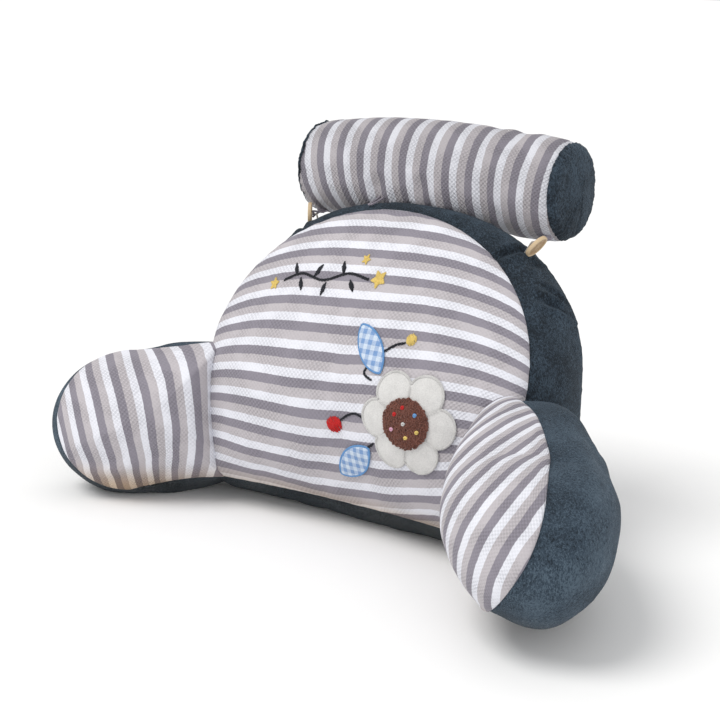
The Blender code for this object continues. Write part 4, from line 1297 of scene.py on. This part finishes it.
def smooth_route(points, steps):
    """Points along a rounded line through the given ones."""
    ends = [points[0] * 2 - points[1], *points, points[-1] * 2 - points[-2]]
    route = []
    for a, b, c, d in zip(ends, ends[1:], ends[2:], ends[3:]):
        for i in range(steps):
            t = i / steps
            bend = (2 * a - 5 * b + 4 * c - d) * t ** 2 + (3 * b - a - 3 * c + d) * t ** 3
            route.append((2 * b + (c - a) * t + bend) / 2)
    return route + [points[-1]]


def nearest_on_band(place, arch_deg):
    """The side band's point that is nearest to a place, and the way it faces there."""
    turns = np.linspace(arch_deg - 8, arch_deg + 8, 33)
    spots = [band_place(turn, share) for turn in turns for share in np.linspace(0.3, 0.95, 27)]
    return min(spots, key=lambda spot: (spot[0] - place).length)


def loop_route(roll_x, roll_deg, hold, normal):
    """A loop out of the roll, lying flat under a normal round the point it holds, and back."""
    reach = hold - roll_place(roll_x, roll_deg)[0]
    toward = (reach - normal * reach.dot(normal)).normalized()
    across = normal.cross(toward)
    if across.x < 0:
        across = -across
    strands = []
    for side in (1, -1):
        start, out = roll_place(roll_x + side * LOOP_SPREAD, roll_deg)
        near = hold + across * side * LOOP_SPREAD - toward * LOOP_SPREAD
        rise = [start + out * (GAP + share * LOOP_RADIUS) for share in (-1.5, 1.5, 3.0)]
        strands.append([*rise, near])
    turn = []
    for degrees in (30, 90, 150):
        angle = math.radians(degrees)
        turn.append(hold + (across * math.cos(angle) + toward * math.sin(angle)) * LOOP_SPREAD)
    return smooth_route(strands[0] + turn + strands[1][::-1], 8)


def lengths_along(line):
    """How far along a line each of its points is."""
    return np.concatenate([[0.0], np.cumsum(np.linalg.norm(np.diff(line, axis=0), axis=1))])


def places_along(line, run, lengths):
    """A line's points at the given lengths, where run is that of its own points."""
    return np.stack([np.interp(lengths, run, column) for column in line.T], axis=1)


def plied(route, radius, pitch, plies):
    """Strands wound round a route, as in a twisted cord."""
    points = np.array([tuple(point) for point in route])
    run = lengths_along(points)
    even = np.linspace(0, run[-1], int(run[-1] / pitch * 14) + 2)
    points = places_along(points, run, even)
    ahead = np.gradient(points, axis=0)
    ahead /= np.linalg.norm(ahead, axis=1, keepdims=True)
    side = np.cross(ahead, (0.31, 0.87, 0.38))
    side /= np.linalg.norm(side, axis=1, keepdims=True)
    other = np.cross(ahead, side)
    strands = []
    for ply in range(plies):
        angle = (2 * np.pi * (even / pitch + ply / plies))[:, None]
        strands.append(points + radius * (np.cos(angle) * side + np.sin(angle) * other))
    return strands


def threads(name, lines, radius, sides, trees, material, node=None):
    """A piece of round threads laid along lines."""
    values = {"Radius": radius, "Sides": sides, "Material": material}
    mesh = grown(name, lines_mesh(name, lines), trees["thread"], values)
    return piece(name, mesh, material, node)


def button_mesh(name, middle, facing):
    """A dished, turned button: rounded raised rim, fine turned grooves and a small hub."""
    half = BUTTON_THICKNESS / 2
    floor = half - BUTTON_DISH
    rim = BUTTON_RADIUS - BUTTON_RIM
    profile = [(0.0, floor + 0.0004), (0.0016, floor + 0.0004), (0.0024, floor + 0.00022)]
    profile += [(0.0030, floor - 0.00010), (0.0034, floor)]
    for groove in (0.0058, 0.0088):
        profile += [(groove, floor), (groove + 0.0002, floor - 0.00014), (groove + 0.0004, floor)]
    profile += [(rim - 0.0007, floor), (rim - 0.0001, floor + 0.0003)]
    profile += [(rim + 0.0004, half - 0.0001)]
    mid, reach = rim + 0.0010, BUTTON_RIM - 0.0010
    for degrees in range(80, -91, -17):
        angle = math.radians(degrees)
        lift = half * math.sin(angle)
        profile.append((mid + reach * math.cos(angle) ** 0.7, lift))
    profile += [(rim - 0.001, -half), (0.006, -half), (0.0, -half)]
    turn = facing.to_track_quat("Z", "Y").to_matrix()

    def placed(radius, height, angle):
        flat = Vector((radius * math.cos(angle), radius * math.sin(angle), height))
        return tuple(middle + turn @ flat)

    angles = [2 * math.pi * i / BUTTON_SIDES for i in range(BUTTON_SIDES)]
    points = [placed(*spot, angle) for spot in profile[1:-1] for angle in angles]
    points += [placed(*profile[0], 0.0), placed(*profile[-1], 0.0)]
    return mesh_of(name, np.array(points), row_faces(len(profile) - 2, BUTTON_SIDES, 2))


def knot_mesh(name, middle, sizes, seed):
    """A small gathered knot of cloth."""
    ball = bmesh.new()
    bmesh.ops.create_icosphere(ball, subdivisions=4, radius=1.0)
    points = np.array([tuple(vertex.co) for vertex in ball.verts])
    faces = [tuple(vertex.index for vertex in face.verts) for face in ball.faces]
    ball.free()
    angle = np.arctan2(points[:, 2], points[:, 0])
    folds = 1 + 0.10 * np.sin(9 * angle + 2 * points[:, 1]) * (1 - points[:, 1] ** 2)
    folds += 0.12 * smooth_noise(points, 0.5, seed)
    return mesh_of(name, middle + points * folds[:, None] * np.array(sizes), faces)


def build_fasteners(materials, trees):
    for name, row in FASTENER_ROWS.items():
        size = dict(zip(FASTENER_COLUMNS, row))
        ground, up = band_place(size["arch_deg"], size["share"])
        yaw, pitch = math.radians(size["yaw_deg"]), math.radians(size["pitch_deg"])
        facing = Vector((math.cos(yaw), math.sin(yaw), 0)) * math.cos(pitch)
        facing.z = math.sin(pitch)
        middle = ground + up * size["height"]
        mesh = button_mesh(f"turned_button_{name}", middle, facing)
        wood = turned_wood(f"turned_wood_{name}", facing, middle)
        piece(f"turned_button_{name}", mesh, wood, f"button_{name}")
        behind = middle - facing * (BUTTON_THICKNESS / 2)
        knee = behind - facing * size["knee"]
        foot, out = nearest_on_band(knee, size["arch_deg"])
        route = smooth_route([behind, knee, foot.lerp(knee, 0.3), foot - out * 0.001], 8)
        strands = plied(route, SHANK_RADIUS * 0.55, SHANK_TWIST, 3)
        threads(
            f"shank_thread_{name}", strands, SHANK_RADIUS * 0.52, 7, trees,
            materials["thread"], f"shank_{name}",
        )
        hold = behind - facing * (LOOP_RADIUS + 3 * GAP)
        route = loop_route(size["roll_x"], size["roll_deg"], hold, facing)
        cord(name, route, materials, trees)
        start, out = roll_place(size["roll_x"], size["roll_deg"])
        knot = knot_mesh(f"loop_knot_{name}", np.array(start + out * 0.0016), KNOT_HALVES, 5)
        piece(knot.name, knot, materials["tape"])
    size = MIDDLE_LOOP
    hold, up = band_place(size["arch_deg"], size["share"])
    hold += up * (LOOP_RADIUS + 3 * GAP)
    route = loop_route(size["roll_x"], size["roll_deg"], hold, up)
    cord("middle", route, materials, trees)


def cord(name, route, materials, trees):
    """A twisted loop of rolled tape."""
    strands = plied(route, LOOP_RADIUS * 0.48, LOOP_TWIST, 2)
    threads(
        f"loop_cord_{name}", strands, LOOP_RADIUS * 0.62, 8, trees,
        materials["tape"], f"loop_{name}",
    )


# ---- Posy and stitches on the front -------------------------------------------------------
class Front:
    """The backrest's striped front, to lay patches and stitches on."""

    def __init__(self, mesh):
        faces = [tuple(polygon.vertices) for polygon in mesh.polygons]
        self.tree = BVHTree.FromPolygons(points_of(mesh).tolist(), faces)

    def lay(self, flat, heights):
        """Points at their x and z on the cloth, each raised by its height."""
        ahead, laid = Vector((0, 1, 0)), []
        heights = np.broadcast_to(heights, flat.shape[:-1]).ravel()
        for (x, z), height in zip(flat.reshape(-1, 2), heights):
            place, normal, _, _ = self.tree.ray_cast(Vector((x, -0.5, z)), ahead)
            laid.append(place + normal * height)
        return np.array([tuple(point) for point in laid]).reshape(*flat.shape[:-1], 3)


def patch_mesh(name, front, outline, thickness, puff, groove=None):
    """A cut piece laid on the cloth: rounded at its edge and a little padded in the middle."""
    shares, middle = PATCH_SHARES, outline.mean(axis=0)
    flat = middle + shares[:, None, None] * (outline - middle)
    tops = PATCH_GAP + thickness * (1 - shares ** 24) ** 0.5 + puff * (1 - shares ** 3)
    tops = np.repeat(tops[:, None], len(outline), axis=1)
    if groove is not None:
        tops -= groove[None] * np.clip(3 * shares, 0, 1)[:, None] * (1 - shares[:, None] ** 8)
    top = front.lay(flat, tops).reshape(-1, 3)
    under = front.lay(flat, PATCH_UNDER).reshape(-1, 3)
    heights = np.array([PATCH_GAP + thickness + puff, PATCH_UNDER])
    poles = front.lay(np.array([middle, middle]), heights)
    points = np.vstack([top, poles[:1], under, poles[1:]])
    places = np.vstack([flat.reshape(-1, 2), [middle]])
    faces = sheet_faces(len(shares), len(outline))
    return mesh_of(name, points, faces, np.vstack([places, places]))


def patch(name, front, outline, thickness, puff, material, node, groove=None):
    mesh = patch_mesh(name, front, outline, thickness, puff, groove)
    piece(name, mesh, material, node)


def even_points(line, pitch, closed=False):
    """Points a pitch apart along a line, and the direction of the line at each."""
    line = np.vstack([line, line[:1]]) if closed else np.array(line)
    run = lengths_along(line)
    even = np.linspace(0, run[-1], max(int(run[-1] / pitch), 2), endpoint=not closed)
    points = places_along(line, run, even)
    ahead = places_along(line, run, even + 1e-5) - points
    ahead += points - places_along(line, run, even - 1e-5)
    return points, ahead / np.maximum(np.linalg.norm(ahead, axis=1, keepdims=True), 1e-12)


def curve_points(knots, steps):
    route = smooth_route([Vector((x, z)) for x, z in knots], steps)
    return np.array([tuple(point) for point in route])


def satin(front, centres, across, halves, base, rise, seed):
    """Threads laid side by side: each an arch of five points over the cloth."""
    wander = np.random.default_rng(seed)
    share = np.array([-1.0, -0.7, 0.0, 0.7, 1.0])
    halves = halves * (1 + SATIN_WANDER * wander.normal(size=len(centres)))
    turn = SATIN_WANDER * wander.normal(size=len(centres))[:, None]
    across = across + turn * np.stack([-across[:, 1], across[:, 0]], axis=1)
    flat = centres[:, None] + share[None, :, None] * (across * halves[:, None])[:, None]
    heights = base + rise * np.sqrt(np.maximum(1 - share ** 2, 0.0))
    return list(front.lay(flat, heights[None] + 0.0001 * wander.normal(size=(len(centres), 1))))


def satin_edge(front, outline, half, base, seed):
    points, ahead = even_points(outline, EDGE_PITCH, closed=True)
    across = np.stack([ahead[:, 1], -ahead[:, 0]], axis=1)
    halves = np.full(len(points), half)
    return satin(front, points - across * half * 0.45, across, halves, base, 0.0006, seed)


def directions(turn):
    """The way along a turned motif, and the way across it."""
    along = np.array([math.cos(turn), math.sin(turn)])
    return along, np.array([-along[1], along[0]])


def satin_disc(front, x, z, radius, turn, seed):
    along, across = directions(turn)
    steps = np.linspace(-0.97, 0.97, int(2 * radius / DISC_PITCH))
    centres = np.array([x, z]) + steps[:, None] * radius * along
    halves = radius * np.sqrt(1 - steps ** 2)
    lines = []
    for number, (centre, half) in enumerate(zip(centres, halves)):
        dome, half = 0.0016 * half / radius, np.array([half])
        lines += satin(front, centre[None], across[None], half, 0.0004, dome, seed + number)
    return lines


def satin_star(front, x, z, radius, turn, seed):
    lines = []
    for lobe in range(5):
        along, across = directions(turn + 2 * math.pi * lobe / 5)
        steps = np.linspace(0.06, 0.98, int(radius / STAR_PITCH))
        halves = radius * 0.34 * np.minimum(steps / 0.45, (1.02 - steps) / 0.57) ** 0.8
        centres = np.array([x, z]) + steps[:, None] * radius * along
        across = np.tile(across, (len(steps), 1))
        lines += satin(front, centres, across, halves, 0.0005, 0.0008, seed + lobe)
    return lines


def satin_leaf(front, x, z, turn_deg, half_length, half_width, seed):
    along, across = directions(math.radians(turn_deg))
    steps = np.linspace(-0.96, 0.96, int(2 * half_length / LEAF_PITCH))
    centres = np.array([x, z]) + steps[:, None] * half_length * along
    halves = half_width * (1 - np.abs(steps) ** 1.6)
    slanted = (across + 0.5 * along) / np.linalg.norm(across + 0.5 * along)
    slanted = np.tile(slanted, (len(steps), 1))
    return satin(front, centres, slanted, halves, 0.0004, 0.0006, seed)


def stem_stitches(front, knots, seed, length=STEM_STITCH, strands=STEM_STRANDS):
    """Overlapping stitches in a few strands side by side along a line."""
    wander = np.random.default_rng(seed)
    line = curve_points(knots, 24)
    points, ahead = even_points(line, length / 8)
    across = np.stack([-ahead[:, 1], ahead[:, 0]], axis=1)
    lines = []
    for strand in range(strands):
        offset = (strand - (strands - 1) / 2) * STEM_SPREAD
        first = (strand * 3) % 8
        for start in range(-first, len(points) - 3, 8):
            pick = np.clip(np.arange(start, start + 10, 3), 0, len(points) - 1)
            if pick[-1] - pick[0] < 4:
                continue
            slant = np.linspace(-0.00035, 0.00035, len(pick))[:, None]
            flat = points[pick] + across[pick] * (offset + slant + 0.0001 * wander.normal())
            share = np.linspace(-1, 1, len(pick))
            lines.append(front.lay(flat, 0.0002 + 0.0007 * np.sqrt(1.02 - share ** 2)))
    return lines


def full_turn(count):
    return 2 * np.pi * np.arange(count) / count


def round_points(centre, radius, angle):
    return np.array(centre) + np.stack([radius * np.cos(angle), radius * np.sin(angle)], axis=1)


def flower_outline():
    """The flower's edge, and how far out on its petal each point of it is, from 0 to 1."""
    angle = full_turn(PETALS * 40)
    petal = np.abs(np.cos(PETALS * angle / 2)) ** 0.7
    radius = FLOWER_RADIUS * (FLOWER_WAIST + (1 - FLOWER_WAIST) * petal)
    return round_points(FLOWER_AT, radius, angle), petal


def leaf_outline(x, z, turn_deg, half_length, half_width):
    angle = full_turn(96)
    along = half_length * np.cos(angle)
    across = half_width * np.sin(angle) * np.abs(np.sin(angle)) ** 0.5
    turn = math.radians(turn_deg)
    cos, sin = math.cos(turn), math.sin(turn)
    return np.stack([x + along * cos - across * sin, z + along * sin + across * cos], axis=1)


def build_flower(front, materials, trees):
    outline, petal = flower_outline()
    groove = 0.0013 * (1 - petal) ** 0.5
    patch(
        "felt_flower", front, outline, PATCH, 0.0020, materials["felt"],
        "patch_flower", groove,
    )
    edge = satin_edge(front, outline, 0.0013, 0.0017, 1)
    radius = THREAD_RADII["edging"]
    threads("flower_edging", edge, radius, 5, trees, materials["cream"])
    veins = []
    for number in range(PETALS):
        along, _ = directions(math.pi * (2 * number + 1) / PETALS)
        knots = [np.array(FLOWER_AT) + along * reach for reach in VEIN_REACH]
        veins += stem_stitches(front, knots, number, length=0.0034, strands=1)
    veins = [line - np.array([0, VEIN_FORWARD, 0]) for line in veins]
    radius = THREAD_RADII["vein"]
    threads("petal_creases", veins, radius, 5, trees, materials["cream"])


def build_flower_centre(front, materials, trees):
    """The boucle disc, its loose curls, and the knots sewn on it."""
    disc = round_points(FLOWER_AT, CENTRE_RADIUS, full_turn(96))
    patch(
        "boucle_centre", front, disc, CENTRE_THICKNESS + 0.0014, 0.0022, materials["brown"],
        "patch_flower_centre",
    )
    sides, middle = 60, np.array(FLOWER_AT)
    shares = np.linspace(0.12, 1.0, 9)
    ring = round_points(FLOWER_AT, CENTRE_RADIUS, full_turn(sides)) - middle
    heights = np.repeat((0.0046 + 0.0022 * (1 - shares ** 3))[:, None], sides, axis=1)
    top = front.lay(middle + shares[:, None, None] * ring, heights).reshape(-1, 3)
    pole = front.lay(middle[None], 0.0068)
    faces = row_faces(len(shares), sides, 1)
    ground = mesh_of("boucle_ground", np.vstack([top, pole]), faces)
    values = {**CURLS, "Material": materials["brown"]}
    curls = grown("boucle_curls", ground, trees["curl"], values)
    piece("boucle_curls", curls, materials["brown"])
    angle = np.linspace(0, 5 * np.pi, KNOT_STEPS)
    radius = KNOT_RADIUS * np.linspace(1.0, 0.45, KNOT_STEPS)
    rise = np.linspace(0.0078, 0.0092, KNOT_STEPS)
    for colour in dict.fromkeys(knot[2] for knot in KNOTS):
        spots = [middle + np.array(knot[:2]) for knot in KNOTS if knot[2] == colour]
        lines = [front.lay(round_points(spot, radius, angle), rise) for spot in spots]
        yarn = THREAD_RADII["knot"]
        threads(f"knots_{colour}", lines, yarn, 6, trees, materials[colour])


def build_leaves(front, materials, trees):
    for node, row in LEAF_ROWS.items():
        leaf = leaf_outline(**dict(zip(LEAF_COLUMNS, row)))
        name = node.replace("patch", "gingham")
        gingham = materials["gingham"]
        patch(name, front, leaf, PATCH, 0.0012, gingham, node)
        edge = satin_edge(front, leaf, 0.0011, 0.0015, 7)
        radius = THREAD_RADII["leaf"]
        threads(f"{name}_edging", edge, radius, 5, trees, materials["sky"])


def build_embroidery(front, materials, trees):
    """Stems, the sprig, berries and stars."""
    stems = []
    for number, knots in enumerate(STEMS):
        stems += stem_stitches(front, knots, number)
    stems += stem_stitches(front, SPRIG, 9)
    for number, row in enumerate(SPRIG_LEAVES):
        stems += satin_leaf(front, *row, seed=20 + number)
    stem, yarn = THREAD_RADII["stem"], THREAD_RADII["satin"]
    threads("charcoal_stitches", stems, stem, 5, trees, materials["charcoal"])
    for colour, (x, z, radius) in BERRIES.items():
        berry = satin_disc(front, x, z, radius, 0.6, 40)
        threads(f"berry_{colour}", berry, yarn, 5, trees, materials[colour])
    stars = []
    for number, (x, z, radius) in enumerate(STARS):
        stars += satin_star(front, x, z, radius, 0.5 + 0.4 * number, 60 + 10 * number)
    threads("star_stitches", stars, yarn, 5, trees, materials["yellow"])


def build_posy(front, materials, trees):
    build_flower(front, materials, trees)
    build_flower_centre(front, materials, trees)
    build_leaves(front, materials, trees)
    build_embroidery(front, materials, trees)


# ---- Studio -----------------------------------------------------------------------------
def build_camera():
    """The camera at the photograph's place."""
    right, ahead = Vector(CAMERA_RIGHT).normalized(), Vector(CAMERA_AHEAD).normalized()
    up = right.cross(ahead).normalized()
    right = ahead.cross(up)
    data = bpy.data.cameras.new("photo_camera")
    data.lens = SENSOR_WIDTH * CAMERA_FOCAL
    data.sensor_width = SENSOR_WIDTH
    camera = bpy.data.objects.new("photo_camera", data)
    camera.matrix_world = Matrix([
        (right[i], up[i], -ahead[i], CAMERA_PLACE[i]) for i in range(3)
    ] + [(0, 0, 0, 1)])
    bpy.context.scene.collection.objects.link(camera)
    bpy.context.scene.camera = camera


def add_light(name, kind, place, target, size, power, colour):
    """A light; a sun's size is its angle in degrees, and another's is its width."""
    data = bpy.data.lights.new(name, kind)
    if kind == "SUN":
        data.angle = math.radians(size)
    else:
        data.shape, data.size = "DISK", size
    data.energy = power
    data.color = colour
    light = bpy.data.objects.new(name, data)
    light.location = place
    light.rotation_euler = (Vector(target) - Vector(place)).to_track_quat("-Z", "Y").to_euler()
    bpy.context.scene.collection.objects.link(light)


def build_studio():
    world = bpy.data.worlds.new("studio")
    bpy.context.scene.world = world
    world.use_nodes = True
    background = world.node_tree.nodes["Background"]
    background.inputs["Color"].default_value = (1.0, 1.0, 1.0, 1.0)
    background.inputs["Strength"].default_value = SKY_STRENGTH
    bpy.context.scene.view_settings.view_transform = "Standard"
    add_light("key", "SUN", (-0.8, -1.3, 2.5), (0.0, 0.0, 0.0), 30.0, 1.45, (1.0, 0.99, 0.97))
    add_light("fill", "AREA", (1.8, -1.4, 0.9), (0.1, -0.1, 0.15), 1.2, 5.0, (0.94, 0.97, 1.0))
    mesh = bpy.data.meshes.new("floor")
    corners = ((-1, -1, 0), (1, -1, 0), (1, 1, 0), (-1, 1, 0))
    mesh.from_pydata([Vector(corner) * FLOOR_HALF for corner in corners], [], [(0, 1, 2, 3)])
    floor = bpy.data.objects.new("floor", mesh)
    bpy.context.scene.collection.objects.link(floor)
    material, _, shader = new_material("pale_floor", 0.9)
    shader.inputs["Base Color"].default_value = (FLOOR_PALE, FLOOR_PALE, FLOOR_PALE, 1.0)
    mesh.materials.append(material)


def main():
    build_camera()
    build_studio()
    trees = {"thread": thread_tree(), "curl": curl_tree()}
    groups = {
        "waffle": waffle_group(), "stripe": stripe_group(), "low": painted_low_shade_group(),
        "pile": pile_group(), "yarn": yarn_group(),
    }
    materials = {"gingham": gingham_cloth(groups)}
    for name, (shade, relief) in STRIPED.items():
        striped = striped_cloth(f"striped_cloth_{name}", groups, shade, relief)
        materials[f"striped_{name}"] = striped
    for name, (seed, level) in PLUSHES.items():
        materials[f"plush_{name}"] = plush_cloth(f"slate_plush_{name}", groups, seed, level)
    for name, finish in YARNS.items():
        materials[name] = plain_yarn(groups, *finish)
    front_cloth = build_backrest(materials)
    build_posy(Front(front_cloth.data), materials, trees)
    build_fasteners(materials, trees)
    for name, size in ARM_SIZES.items():
        build_arm(name, size, materials)
    build_roll(materials)


main()
